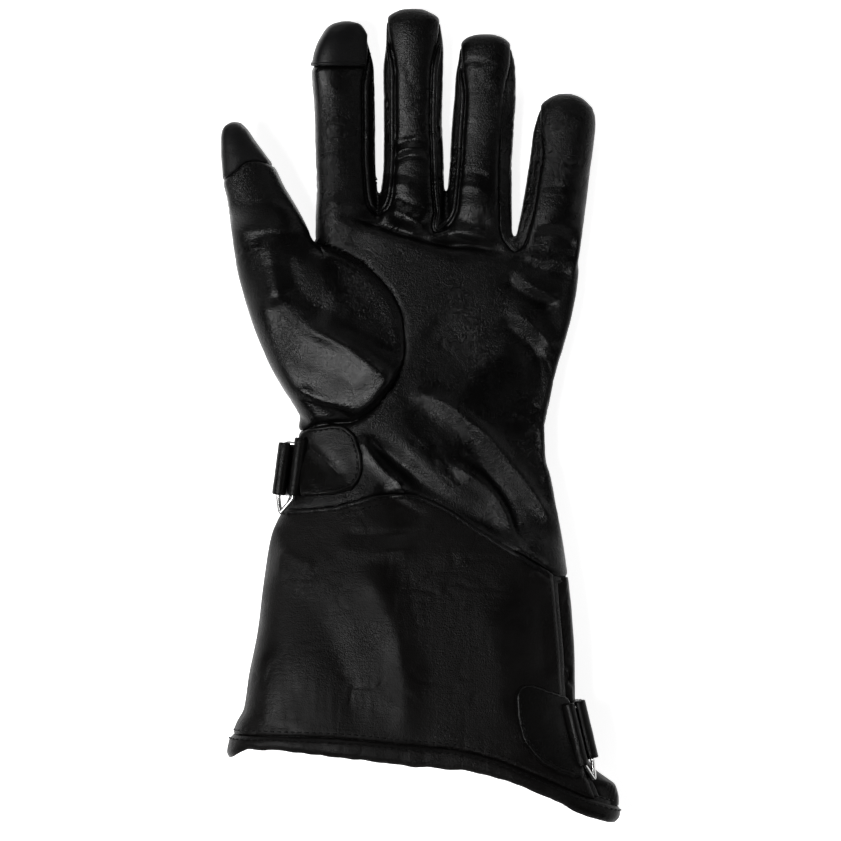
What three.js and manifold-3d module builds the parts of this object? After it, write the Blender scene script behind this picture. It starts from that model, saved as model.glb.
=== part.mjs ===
// Left-hand leather gauntlet glove, lying on its back with the palm up.
// Millimetres. +X to the little-finger side, +Y to the fingertips, +Z out of the palm.
// The leather is a hollow skin: an outer loft of the hand and cuff less an inner one, parted along
// the glove's real seams into its panels. Straps, rings and tabs are separate pieces on it.
import * as THREE from "three";
import { mergeVertices } from "three/addons/utils/BufferGeometryUtils.js";
import Module from "manifold-3d";

const wasm = await Module();
wasm.setup();

// ---------- driving dimensions ----------
const LEATHER = 1.5; // thickness of the skin
const SEAM = 0.3; // gap left along every seam
const SIDE_SEAM = 5.8; // the side seams lie this far above and below the middle height
const ASIDE = 2.5; // a fourchette keeps this far to its own side of a finger's centre line
const HEM_PROUD = 1.2; // how far the rolled hem stands out of the cuff
const SQUARENESS = 2.3; // superellipse exponent of the sections
const BODY_SIDES = 26;
const FINGER_SIDES = 12;
const STRAP_WIDTH = 23.5;
const STRAP_LAYER = 1.3;
const WIRE_R = 0.85; // the rings' wire
const LOOP_GAP = 0.3;
const TAB_LIFT = 0.7; // the tabs lie this far off the skin
const TAB_THICK = 1.5;

// Middle height of the glove along its length: where the sides of every section are widest.
const MIDDLE_HEIGHT = [
  { y: -180, z: 25.0 },
  { y: -100, z: 23.4 },
  { y: -45, z: 19.8 },
  { y: -10, z: 18.0 },
  { y: 15, z: 15.3 },
  { y: 50, z: 13.4 },
  { y: 80, z: 11.6 },
  { y: 105, z: 10.4 },
  { y: 130, z: 11.2 },
  { y: 150, z: 13.4 },
  { y: 176, z: 18.0 },
];

// Sections of the hand and cuff: left and right edge, bottom and top, and skew, the rise in y per mm of x.
// A row marked outerOnly is left out of the inner loft, which is plainer.
const BODY = [
  { y: 77.5, left: -43.0, right: 67.5, low: 2.6, high: 21.5, skew: -0.17 },
  { y: 73.5, left: -45.2, right: 68.6, low: 0.0, high: 24.4, skew: -0.17 },
  { y: 57.0, left: -46.2, right: 66.2, low: -0.6, high: 26.9, skew: -0.11, outerOnly: true },
  { y: 32.5, left: -48.4, right: 61.1, low: -0.4, high: 29.0, skew: -0.04 },
  { y: 15.3, left: -50.1, right: 56.5, low: 0.5, high: 30.5, skew: 0, outerOnly: true },
  { y: 2.4, left: -51.6, right: 53.8, low: 2.2, high: 31.3, skew: 0 },
  { y: -11.0, left: -52.4, right: 52.3, low: 3.9, high: 32.3, skew: 0 },
  { y: -27.7, left: -54.0, right: 55.4, low: 4.0, high: 34.0, skew: 0 },
  { y: -38.5, left: -58.4, right: 57.2, low: 3.6, high: 35.5, skew: 0 },
  { y: -51.4, left: -64.2, right: 59.8, low: 2.6, high: 38.0, skew: 0 },
  { y: -70.7, left: -67.3, right: 62.6, low: 2.2, high: 41.0, skew: -0.02 },
  { y: -96.5, left: -70.1, right: 64.9, low: 2.4, high: 44.0, skew: -0.05, outerOnly: true },
  { y: -118.0, left: -74.0, right: 65.4, low: 3.6, high: 46.2, skew: -0.1 },
  { y: -137.4, left: -77.6, right: 70.6, low: 3.6, high: 47.4, skew: -0.15 },
  { y: -142.6, left: -79.6, right: 73.4, low: 2.6, high: 47.8, skew: -0.16 },
  { y: -151.0, left: -81.8, right: 84.0, low: 1.6, high: 48.2, skew: -0.17 },
  { y: -158.9, left: -83.2, right: 84.6, low: 1.3, high: 48.5, skew: -0.17 },
  { y: -172.0, left: -84.2, right: 82.0, low: 1.3, high: 48.6, skew: -0.17 },
];

// Sections of each finger, from the tip to inside the palm: left and right edge and height.
const FINGERS = {
  index: [
    { y: 169.0, left: -35.0, right: -29.0, tall: 3.5 },
    { y: 168.3, left: -37.6, right: -26.4, tall: 7.0 },
    { y: 166.6, left: -40.2, right: -24.9, tall: 10.0 },
    { y: 161.8, left: -43.4, right: -22.6, tall: 13.8, outerOnly: true },
    { y: 153.7, left: -46.4, right: -20.9, tall: 16.6 },
    { y: 140.0, left: -46.8, right: -20.1, tall: 17.8, outerOnly: true },
    { y: 112.0, left: -45.4, right: -19.8, tall: 18.8 },
    { y: 94.8, left: -44.9, right: -18.7, tall: 20.0, outerOnly: true },
    { y: 84.0, left: -45.3, right: -15.8, tall: 21.6 },
    { y: 58.0, left: -44.5, right: -12.7, tall: 22.6 },
    { y: 44.0, left: -41.0, right: -14.0, tall: 18.0 },
  ],
  middle: [
    { y: 175.0, left: -8.4, right: 1.1, tall: 3.5 },
    { y: 173.8, left: -11.4, right: 3.9, tall: 7.0 },
    { y: 171.8, left: -14.4, right: 7.1, tall: 10.0 },
    { y: 168.3, left: -15.7, right: 9.2, tall: 13.0, outerOnly: true },
    { y: 161.5, left: -15.9, right: 9.7, tall: 15.8 },
    { y: 141.0, left: -16.1, right: 9.3, tall: 17.9, outerOnly: true },
    { y: 112.0, left: -16.1, right: 9.5, tall: 18.8 },
    { y: 97.0, left: -17.2, right: 10.1, tall: 19.8, outerOnly: true },
    { y: 84.0, left: -19.3, right: 11.6, tall: 21.6 },
    { y: 56.0, left: -20.4, right: 14.0, tall: 23.0 },
  ],
  ring: [
    { y: 164.0, left: 23.0, right: 32.0, tall: 3.5 },
    { y: 163.0, left: 20.4, right: 34.6, tall: 7.0 },
    { y: 161.0, left: 17.8, right: 37.6, tall: 10.0 },
    { y: 157.2, left: 15.9, right: 39.8, tall: 13.0, outerOnly: true },
    { y: 150.3, left: 15.3, right: 40.9, tall: 15.8 },
    { y: 130.0, left: 13.8, right: 40.4, tall: 18.0, outerOnly: true },
    { y: 107.7, left: 12.5, right: 39.1, tall: 18.8 },
    { y: 92.0, left: 10.9, right: 39.1, tall: 20.2, outerOnly: true },
    { y: 77.0, left: 9.2, right: 39.2, tall: 22.0 },
    { y: 54.0, left: 8.8, right: 39.8, tall: 23.4 },
  ],
  little: [
    { y: 138.5, left: 58.7, right: 65.6, tall: 3.2 },
    { y: 137.4, left: 56.1, right: 68.6, tall: 6.6 },
    { y: 135.2, left: 52.9, right: 71.6, tall: 9.6 },
    { y: 131.4, left: 50.3, right: 74.4, tall: 12.6, outerOnly: true },
    { y: 126.0, left: 49.0, right: 75.2, tall: 15.0 },
    { y: 116.3, left: 47.9, right: 74.4, tall: 16.6, outerOnly: true },
    { y: 98.0, left: 45.0, right: 72.1, tall: 18.0 },
    { y: 80.0, left: 41.8, right: 69.8, tall: 20.2, outerOnly: true },
    { y: 68.0, left: 38.4, right: 68.0, tall: 21.6 },
    { y: 52.0, left: 35.4, right: 64.6, tall: 21.4 },
    { y: 36.0, left: 36.0, right: 58.6, tall: 16.0 },
  ],
};

// Sections of the thumb and the ball of the thumb, with the height of each section's middle.
const THUMB = [
  { y: 125.6, left: -81.9, right: -78.0, middle: 20.6, tall: 3.2 },
  { y: 124.5, left: -83.6, right: -76.5, middle: 20.5, tall: 6.6 },
  { y: 122.8, left: -85.1, right: -74.8, middle: 20.4, tall: 9.4 },
  { y: 118.5, left: -85.8, right: -71.8, middle: 20.2, tall: 13.0, outerOnly: true },
  { y: 112.0, left: -85.8, right: -66.9, middle: 20.0, tall: 16.0 },
  { y: 102.0, left: -85.2, right: -60.4, middle: 19.6, tall: 18.2, outerOnly: true },
  { y: 89.0, left: -82.7, right: -53.2, middle: 19.0, tall: 20.4 },
  { y: 77.0, left: -81.1, right: -47.0, middle: 18.6, tall: 22.6, outerOnly: true },
  { y: 66.0, left: -79.2, right: -38.5, middle: 18.4, tall: 25.0 },
  { y: 49.7, left: -75.3, right: -29.9, middle: 18.6, tall: 28.6 },
  { y: 36.8, left: -71.2, right: -24.7, middle: 18.8, tall: 30.0 },
  { y: 23.9, left: -65.8, right: -21.3, middle: 19.0, tall: 30.0 },
  { y: 13.1, left: -60.2, right: -21.3, middle: 19.0, tall: 28.4 },
  { y: 2.5, left: -53.6, right: -26.6, middle: 18.8, tall: 25.0 },
  { y: -4.1, left: -49.5, right: -32.9, middle: 18.4, tall: 20.0 },
];

// Seam lines seen from the palm side: one row for each bend of the seam.
const THUMB_SEAM = [
  { x: -46.2, y: 75.5 },
  { x: -36.3, y: 72.0 },
  { x: -25.6, y: 66.4 },
  { x: -17.0, y: 58.3 },
  { x: -11.0, y: 50.1 },
  { x: -7.1, y: 40.2 },
  { x: -6.7, y: 27.3 },
  { x: -9.7, y: 16.6 },
  { x: -14.8, y: 8.8 },
  { x: -21.3, y: 1.5 },
  { x: -30.7, y: -3.0 },
  { x: -43.6, y: -3.7 },
  { x: -52.7, y: -6.6 },
];
const THUMB_BACK_SEAM = [
  { x: -46.2, y: 75.5 },
  { x: -42.6, y: 60.4 },
  { x: -42.2, y: 36.8 },
  { x: -43.5, y: 11.0 },
  { x: -52.7, y: -6.6 },
];
const CUFF_SEAM = [
  { x: -60.4, y: -40.6 },
  { x: -39.3, y: -39.3 },
  { x: -26.4, y: -36.3 },
  { x: -15.7, y: -34.0 },
  { x: -4.1, y: -34.0 },
  { x: 8.0, y: -38.1 },
  { x: 25.2, y: -49.2 },
  { x: 44.5, y: -60.8 },
  { x: 62.1, y: -69.4 },
];
const HEM_EDGE = [
  { x: -84.9, y: -146.4 },
  { x: -65.1, y: -145.2 },
  { x: -52.2, y: -145.6 },
  { x: -35.0, y: -146.8 },
  { x: -7.1, y: -150.3 },
  { x: 21.7, y: -153.0 },
  { x: 36.8, y: -157.0 },
  { x: 56.1, y: -165.3 },
  { x: 74.6, y: -173.6 },
  { x: 82.3, y: -175.0 },
  { x: 87.1, y: -175.0 },
];
const HEM_TOP = [
  { x: -84.9, y: -136.6 },
  { x: -52.2, y: -137.0 },
  { x: -32.9, y: -137.8 },
  { x: -7.1, y: -140.4 },
  { x: 12.3, y: -142.0 },
  { x: 33.8, y: -147.2 },
  { x: 51.0, y: -154.2 },
  { x: 76.8, y: -165.0 },
  { x: 90.0, y: -168.0 },
];
const GUSSET_EDGE = [
  { x: 55.0, y: -60.0 },
  { x: 56.6, y: -64.7 },
  { x: 57.8, y: -79.3 },
  { x: 59.6, y: -100.8 },
  { x: 61.0, y: -122.3 },
  { x: 66.0, y: -141.5 },
  { x: 72.5, y: -158.0 },
  { x: 76.8, y: -170.5 },
];
const INDEX_TIP_SEAM_Y = 150.2;
const THUMB_TIP_SEAM = [
  { x: -88.4, y: 98.7 },
  { x: -82.8, y: 102.1 },
  { x: -78.5, y: 105.1 },
  { x: -75.0, y: 108.4 },
  { x: -70.7, y: 109.2 },
  { x: -60.8, y: 106.9 },
];
// Each fourchette runs between two fingers' centre lines, from the tips to the crotch.
const FOURCHETTES = [
  { name: "fourchette_index_middle", left: "index", right: "middle", crotch: 80.6, topLeft: 162.5, topRight: 168.5 },
  { name: "fourchette_middle_ring", left: "middle", right: "ring", crotch: 74.2, topLeft: 168.5, topRight: 157.5 },
  { name: "fourchette_ring_little", left: "ring", right: "little", crotch: 70.5, topLeft: 157.5, topRight: 132.0 },
];
const WRIST_TAB = [
  { x: -47.5, y: -7.0 },
  { x: -44.5, y: -4.9 },
  { x: -37.2, y: -4.0 },
  { x: -31.6, y: -5.2 },
  { x: -27.7, y: -9.2 },
  { x: -25.6, y: -15.7 },
  { x: -25.2, y: -22.6 },
  { x: -26.4, y: -27.7 },
  { x: -30.3, y: -32.0 },
  { x: -37.2, y: -33.8 },
  { x: -50.4, y: -34.4 },
];
const CUFF_TAB = [
  { x: 62.0, y: -120.4 },
  { x: 55.3, y: -118.5 },
  { x: 47.5, y: -115.9 },
  { x: 42.8, y: -117.2 },
  { x: 40.6, y: -122.3 },
  { x: 41.5, y: -130.1 },
  { x: 45.4, y: -138.7 },
  { x: 51.4, y: -145.6 },
  { x: 58.7, y: -150.7 },
  { x: 67.0, y: -153.4 },
];
// Rings and straps. x, y is the middle of the ring's inner bar, turn the direction the strap leaves in,
// inner and outer the heights of the ring's two bars, apart the distance between them in plan.
// The ring's bars end in a V on the side of the cuff's mouth, pointSide along the fitting's z: its point lies apex of the
// way to the outer bar, and point beyond the bars' ends. At the other end they join in a short round turn.
// Tail rows give the strap's middle line behind the glove: out is measured along the strap from the inner bar.
const WRIST_FIT = {
  x: -53.4, y: -22.7, turn: 172.6, inner: 27.2, outer: 25.2, apart: 6.2, halfBar: 12.6, apex: 0.66, point: 6.4, pointSide: -1, flangeOut: -8.0, flangeHigh: 28.6,
  tail: [
    { out: 5.2, high: 23.4 },
    { out: 4.3, high: 20.0 },
    { out: 3.9, high: 16.0 },
    { out: 2.8, high: 10.5 },
    { out: 0.2, high: 5.8 },
    { out: -4.0, high: 2.7 },
    { out: -10.0, high: 1.7 },
    { out: -24.0, high: 1.6 },
    { out: -48.0, high: 1.6 },
  ],
};
const CUFF_FIT = {
  x: 66.1, y: -135.5, turn: 13.4, inner: 38.0, outer: 33.8, apart: 4.8, halfBar: 12.8, apex: 0.7, point: 8.4, pointSide: 1, flangeOut: -8.0, flangeHigh: 39.4,
  tail: [
    { out: 4.9, high: 31.8 },
    { out: 4.9, high: 28.0 },
    { out: 4.9, high: 23.0 },
    { out: 4.2, high: 17.0 },
    { out: 2.4, high: 11.0 },
    { out: -1.0, high: 6.2 },
    { out: -6.0, high: 2.9 },
    { out: -12.0, high: 1.7 },
    { out: -19.0, high: 1.6 },
  ],
};

// ---------- helpers ----------
function along(rows, y, key) {
  const up = rows[0].y < rows[rows.length - 1].y;
  const r = up ? rows : [...rows].reverse();
  if (y <= r[0].y) return r[0][key];
  for (let i = 1; i < r.length; i++)
    if (y <= r[i].y) {
      const t = (y - r[i - 1].y) / (r[i].y - r[i - 1].y);
      return r[i - 1][key] + t * (r[i][key] - r[i - 1][key]);
    }
  return r[r.length - 1][key];
}
const middleAt = (y) => along(MIDDLE_HEIGHT, y, "z");
const power = (v) => Math.sign(v) * Math.abs(v) ** (2 / SQUARENESS);

function solid(geometry) {
  const g = geometry.clone();
  for (const name of Object.keys(g.attributes)) if (name !== "position") g.deleteAttribute(name);
  const merged = mergeVertices(g, 1e-4);
  return new wasm.Manifold(
    new wasm.Mesh({
      numProp: 3,
      vertProperties: new Float32Array(merged.attributes.position.array),
      triVerts: new Uint32Array(merged.index.array),
    }),
  );
}
function geometryOf(shape) {
  const m = shape.getMesh();
  const at = new Float32Array(m.numVert * 3);
  for (let i = 0; i < m.numVert; i++)
    for (let k = 0; k < 3; k++) at[3 * i + k] = m.vertProperties[m.numProp * i + k];
  return new THREE.BufferGeometry()
    .setAttribute("position", new THREE.BufferAttribute(at, 3))
    .setIndex(new THREE.BufferAttribute(new Uint32Array(m.triVerts), 1));
}
// A closed loft through rings of points, each ring in the same order, with a fan at either end.
function loft(rings) {
  const n = rings[0].length;
  const at = [];
  const faces = [];
  for (const ring of rings) for (const p of ring) at.push(...p);
  for (let i = 0; i + 1 < rings.length; i++)
    for (let j = 0; j < n; j++) {
      const a = i * n + j;
      const b = i * n + ((j + 1) % n);
      faces.push(a, a + n, b, b, a + n, b + n);
    }
  for (const [i, flip] of [
    [0, false],
    [rings.length - 1, true],
  ]) {
    const c = [0, 0, 0];
    for (const p of rings[i]) for (let k = 0; k < 3; k++) c[k] += p[k] / n;
    at.push(...c);
    const hub = at.length / 3 - 1;
    for (let j = 0; j < n; j++) {
      const a = i * n + j;
      const b = i * n + ((j + 1) % n);
      if (flip) faces.push(hub, b, a);
      else faces.push(hub, a, b);
    }
  }
  const s = solid(
    new THREE.BufferGeometry().setAttribute("position", new THREE.Float32BufferAttribute(at, 3)).setIndex(faces),
  );
  if (s.volume() < 0) throw new Error("a loft is inside out");
  return s;
}
function section(sides, left, right, low, high, floor, y, skew) {
  const cx = (left + right) / 2;
  const cz = (low + high) / 2;
  const ring = [];
  for (let j = 0; j < sides; j++) {
    const a = (-2 * Math.PI * j) / sides;
    const dx = ((right - left) / 2) * power(Math.cos(a));
    ring.push([cx + dx, y + skew * dx, Math.max(floor, cz + ((high - low) / 2) * power(Math.sin(a)))]);
  }
  return ring;
}
// grow moves every wall outwards: negative for the inside of the skin.
function bodySolid(grow) {
  const rows = BODY.filter((r) => grow >= 0 || !r.outerOnly).map((r, i) => ({ ...r, y: i === 0 ? r.y + Math.min(grow, 0) : r.y }));
  return loft(
    rows.map((r) =>
      section(BODY_SIDES, r.left - grow, r.right + grow, r.low - grow, r.high + grow, Math.min(-grow, 99), r.y, r.skew),
    ),
  );
}
function tubeSolid(rows, grow, middle) {
  const tip = rows[0].y;
  const root = rows[rows.length - 1].y;
  const rings = [];
  for (const r of rows) {
    if (grow < 0 && r.outerOnly) continue;
    const y = root + ((r.y - root) * (tip + grow - root)) / (tip - root);
    const half = (r.right - r.left) / 2 + grow;
    const tall = r.tall / 2 + grow;
    if (half < 0.8 || tall < 0.8) continue;
    const z = middle(r, y);
    const cx = (r.left + r.right) / 2;
    rings.push(section(FINGER_SIDES, cx - half, cx + half, z - tall, z + tall, -grow, y, 0));
  }
  return loft(rings);
}
const shapeOf = (points) => new THREE.Shape(points.map((p) => new THREE.Vector2(p.x, p.y)));
// A prism over a plan outline, between two heights.
function planPrism(points, low = -20, high = 80) {
  const g = new THREE.ExtrudeGeometry(shapeOf(points), { depth: high - low, bevelEnabled: false });
  g.translate(0, 0, low);
  return solid(g);
}
// A slab right across the glove between two heights that follow its middle height.
function slab(lowOffset, highOffset) {
  const lower = MIDDLE_HEIGHT.map((r) => ({ x: r.y, y: lowOffset === null ? -20 : r.z + lowOffset }));
  const upper = MIDDLE_HEIGHT.map((r) => ({ x: r.y, y: highOffset === null ? 90 : r.z + highOffset })).reverse();
  const g = new THREE.ExtrudeGeometry(shapeOf([...lower, ...upper]), { depth: 240, bevelEnabled: false });
  g.translate(0, 0, -120);
  // the outline's x, y and depth become the glove's y, z and x
  g.applyMatrix4(new THREE.Matrix4().set(0, 0, 1, 0, 1, 0, 0, 0, 0, 1, 0, 0, 0, 0, 0, 1));
  return solid(g);
}
const shift = (points, dx, dy) => points.map((p) => ({ x: p.x + dx, y: p.y + dy }));
// The line moved sideways by a distance, to the left of its direction.
function beside(points, distance) {
  return points.map((p, i) => {
    const a = points[Math.max(0, i - 1)];
    const b = points[Math.min(points.length - 1, i + 1)];
    const d = Math.hypot(b.x - a.x, b.y - a.y);
    return { x: p.x - ((b.y - a.y) / d) * distance, y: p.y + ((b.x - a.x) / d) * distance };
  });
}
const largest = (s) => {
  const parts = s.decompose();
  let best = parts[0];
  for (const p of parts) if (p.volume() > best.volume()) best = p;
  return best;
};

// ---------- the skin ----------
const fingerMiddle = (r, y) => middleAt(y);
const thumbMiddle = (r) => r.middle;
const tubes = (grow) =>
  Object.values(FINGERS)
    .map((rows) => tubeSolid(rows, grow, fingerMiddle))
    .concat(tubeSolid(THUMB, grow, thumbMiddle));
const hull = (grow) => tubes(grow).reduce((s, t) => s.add(t), bodySolid(grow));
const outside = hull(0);
const inside = hull(-LEATHER);
const skin = outside.subtract(inside);

const far = 140;
const belowHemTop = planPrism([...HEM_TOP, { x: far, y: -168 }, { x: far, y: -220 }, { x: -far, y: -220 }, { x: -far, y: -136.6 }].reverse());
const belowHemEdge = planPrism([...HEM_EDGE, { x: far, y: -175 }, { x: far, y: -220 }, { x: -far, y: -220 }, { x: -far, y: -146.4 }].reverse());
const hem = largest(
  bodySolid(HEM_PROUD)
    .subtract(inside)
    .intersect(planPrism([...shift(HEM_TOP, 0, -SEAM), { x: far, y: -168 - SEAM }, { x: far, y: -220 }, { x: -far, y: -220 }, { x: -far, y: -136.6 - SEAM }].reverse()))
    .subtract(belowHemEdge),
);
const wall = skin.subtract(belowHemTop);

// Half-spaces on either side of the side seams.
const upper = slab(-SIDE_SEAM + SEAM / 2, null);
const lower = slab(null, -SIDE_SEAM - SEAM / 2);
const across = (line, dy) => [
  { x: -far, y: line[0].y + dy },
  ...shift(line, 0, dy),
  { x: far, y: line[line.length - 1].y + dy },
  { x: far, y: -230 },
  { x: -far, y: -230 },
];
const cuffSide = planPrism(across(CUFF_SEAM, -SEAM / 2).reverse());
const handSide = planPrism(
  [
    { x: -far, y: CUFF_SEAM[0].y + SEAM / 2 },
    ...shift(CUFF_SEAM, 0, SEAM / 2),
    { x: far, y: CUFF_SEAM[CUFF_SEAM.length - 1].y + SEAM / 2 },
    { x: far, y: 230 },
    { x: -far, y: 230 },
  ],
);

// The thumb's leather: all that lies on its side of its seam, above and below the side seam.
const thumbOutline = (line, gap) => {
  const end = line[line.length - 1];
  const edge = beside([{ x: -56, y: 150 }, { x: -51.6, y: 101 }, ...line, { x: end.x - 30, y: end.y - 3 }], gap).reverse();
  return [{ x: -far, y: edge[0].y }, ...edge, { x: -far, y: 150 }];
};
const thumbTop = (gap) => planPrism(thumbOutline(THUMB_SEAM, gap)).intersect(slab(-SIDE_SEAM + (gap ? -gap : 0), null));
const thumbUnder = (gap) => planPrism(thumbOutline(THUMB_BACK_SEAM, gap)).intersect(slab(null, -SIDE_SEAM + 0.01));
const thumbRegion = thumbTop(0).add(thumbUnder(0));
const thumbKeepOut = thumbTop(SEAM).add(thumbUnder(SEAM));
const thumbSkin = wall.intersect(thumbRegion);
const tipLine = (gap) => [...shift(THUMB_TIP_SEAM, 0, gap), { x: -56, y: 150 }, { x: -95, y: 150 }];
const thumbTip = thumbSkin.intersect(planPrism(tipLine(SEAM / 2)));
const thumbPanel = largest(thumbSkin.subtract(planPrism(tipLine(-SEAM / 2))));

// Fourchettes: the side walls that face each other between two fingers.
const centreAt = (finger, y) => (along(FINGERS[finger], y, "left") + along(FINGERS[finger], y, "right")) / 2;
function fourchetteOutline(f) {
  const line = (finger, top, aside) => [
    { x: centreAt(finger, f.crotch) + aside, y: f.crotch },
    { x: centreAt(finger, 110) + aside, y: 110 },
    { x: centreAt(finger, top) + aside, y: top },
  ];
  const left = line(f.left, f.topLeft, ASIDE);
  const right = line(f.right, f.topRight, -ASIDE);
  return [...right, { x: (left[2].x + right[2].x) / 2, y: Math.max(f.topLeft, f.topRight) }, ...left.reverse()];
}
// An outline with every corner moved outwards.
function grown(points, distance) {
  return points.map((p, i) => {
    const a = points[(i + points.length - 1) % points.length];
    const b = points[(i + 1) % points.length];
    const u = new THREE.Vector2(p.x - a.x, p.y - a.y).normalize();
    const v = new THREE.Vector2(b.x - p.x, b.y - p.y).normalize();
    const n = new THREE.Vector2(u.y + v.y, -(u.x + v.x));
    const k = distance / (1 + u.dot(v));
    return { x: p.x + n.x * k, y: p.y + n.y * k };
  });
}
const bandFor = slab(-SIDE_SEAM + SEAM / 2, SIDE_SEAM - SEAM / 2);
const bandOut = slab(-SIDE_SEAM - SEAM / 2, SIDE_SEAM + SEAM / 2);
const fourchettes = FOURCHETTES.map((f) => ({
  name: f.name,
  shape: largest(wall.intersect(planPrism(fourchetteOutline(f))).intersect(bandFor).subtract(thumbKeepOut)),
}));
const fourchetteRoom = FOURCHETTES.map((f) => planPrism(grown(fourchetteOutline(f), SEAM)))
  .reduce((a, b) => a.add(b))
  .intersect(bandOut);

const handSkin = wall.intersect(handSide).subtract(thumbKeepOut).subtract(fourchetteRoom);
const palmSkin = handSkin.intersect(upper);
const indexBox = (low, high) =>
  planPrism([
    { x: -60, y: low },
    { x: -18.2, y: low },
    { x: -18.2, y: high },
    { x: -60, y: high },
  ]);
const indexTip = largest(palmSkin.intersect(indexBox(INDEX_TIP_SEAM_Y + SEAM / 2, 190)));
const palmPanel = largest(palmSkin.subtract(indexBox(INDEX_TIP_SEAM_Y - SEAM / 2, 190)));
const backPanel = largest(handSkin.intersect(lower));

const cuffSkin = wall.intersect(cuffSide);
const gussetSide = (gap) =>
  planPrism([{ x: GUSSET_EDGE[0].x + gap, y: -20 }, ...shift(GUSSET_EDGE, gap, 0), { x: 76.8 + gap, y: -220 }, { x: far, y: -220 }, { x: far, y: -20 }].reverse());
const cuffUpper = cuffSkin.intersect(upper);
const cuffPalm = largest(cuffUpper.subtract(gussetSide(-SEAM / 2)));
const cuffGusset = largest(cuffUpper.intersect(gussetSide(SEAM / 2)));
const cuffBack = largest(cuffSkin.intersect(lower));

// ---------- tabs, rings and straps ----------
// In a fitting's own frame x runs out along the strap, y is up, and z along the ring's bars.
function fittingFrame(fit) {
  const a = (fit.turn * Math.PI) / 180;
  const out = new THREE.Vector3(Math.cos(a), Math.sin(a), 0);
  const up = new THREE.Vector3(0, 0, 1);
  return new THREE.Matrix4().makeBasis(out, up, out.clone().cross(up)).setPosition(fit.x, fit.y, 0);
}
const place = (geometry, frame) => solid(geometry.clone().applyMatrix4(frame));
function bar(radius, x, y, length, frame) {
  const g = new THREE.CylinderGeometry(radius, radius, length, 14);
  g.rotateX(Math.PI / 2);
  g.translate(x, y, 0);
  return place(g, frame);
}
// A band of leather of even thickness along a path in the fitting's x and y.
function band(path, thick, width, frame) {
  const left = [];
  const right = [];
  path.forEach((p, i) => {
    const a = path[Math.max(0, i - 1)];
    const b = path[Math.min(path.length - 1, i + 1)];
    const d = Math.hypot(b.out - a.out, b.high - a.high);
    const nx = (-(b.high - a.high) / d) * (thick / 2);
    const ny = ((b.out - a.out) / d) * (thick / 2);
    left.push({ x: p.out + nx, y: p.high + ny });
    right.push({ x: p.out - nx, y: p.high - ny });
  });
  const g = new THREE.ExtrudeGeometry(shapeOf([...left, ...right.reverse()]), { depth: width, bevelEnabled: false });
  g.translate(0, 0, -width / 2);
  return place(g, frame);
}
// The leather loop round a bar: a sleeve with a hole for the wire.
function loopOn(x, y, width, frame) {
  const r = WIRE_R + LOOP_GAP;
  return { sleeve: bar(r + STRAP_LAYER, x, y, width, frame), hole: bar(r, x, y, width + 4, frame) };
}
function strapSolid(fit) {
  const frame = fittingFrame(fit);
  const { sleeve, hole } = loopOn(fit.apart, fit.outer, STRAP_WIDTH, frame);
  return largest(sleeve.add(band(fit.tail, 2 * STRAP_LAYER, STRAP_WIDTH, frame)).subtract(hole));
}
function tabSolid(fit, outline) {
  const frame = fittingFrame(fit);
  const { sleeve, hole } = loopOn(0, fit.inner, STRAP_WIDTH, frame);
  const flange = band(
    [
      { out: 0, high: fit.inner + WIRE_R + LOOP_GAP + TAB_THICK / 2 },
      { out: fit.flangeOut / 2, high: (fit.inner + WIRE_R + LOOP_GAP + TAB_THICK / 2 + fit.flangeHigh) / 2 },
      { out: fit.flangeOut, high: fit.flangeHigh },
    ],
    TAB_THICK,
    STRAP_WIDTH,
    frame,
  );
  const lifted = bodySolid(TAB_LIFT + TAB_THICK).add(tubeSolid(THUMB, TAB_LIFT + TAB_THICK, thumbMiddle));
  const skinAndGap = bodySolid(TAB_LIFT).add(tubeSolid(THUMB, TAB_LIFT, thumbMiddle));
  const sheet = lifted.subtract(skinAndGap).intersect(planPrism(orient(outline), 12, 80));
  return largest(sheet.add(sleeve).add(flange).subtract(hole).subtract(skinAndGap));
}
function orient(points) {
  let a = 0;
  points.forEach((p, i) => {
    const q = points[(i + 1) % points.length];
    a += p.x * q.y - q.x * p.y;
  });
  return a < 0 ? [...points].reverse() : points;
}
// A ring of wire.
function ringSolid(fit) {
  const frame = fittingFrame(fit);
  const inner = new THREE.Vector2(0, fit.inner);
  const outer = new THREE.Vector2(fit.apart, fit.outer);
  const spot = (t, z) => new THREE.Vector3(inner.x + t * (outer.x - inner.x), inner.y + t * (outer.y - inner.y), z);
  const h = fit.halfBar;
  const v = h + fit.point;
  const t = fit.apex;
  const line = [
    [0, 0], [0, h / 2], [0, h], [0.06, h + 1.0], [t - 0.1, v - 0.7], [t, v], [t + 0.08, v - 0.8], [0.97, h + 1.6], [1, h], [1, h / 2],
    [1, 0], [1, -h / 2], [1, -h], [0.93, -h - 1.1], [0.75, -h - 1.9], [0.25, -h - 1.9], [0.07, -h - 1.1], [0, -h], [0, -h / 2],
  ].map(([s, z]) => [s, z * fit.pointSide]);
  if (fit.pointSide < 0) line.reverse();
  const curve = new THREE.CatmullRomCurve3(line.map(([s, z]) => spot(s, z)), true, "catmullrom", 0.35);
  return place(new THREE.TubeGeometry(curve, 42, WIRE_R, 6, true), frame);
}

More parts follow.
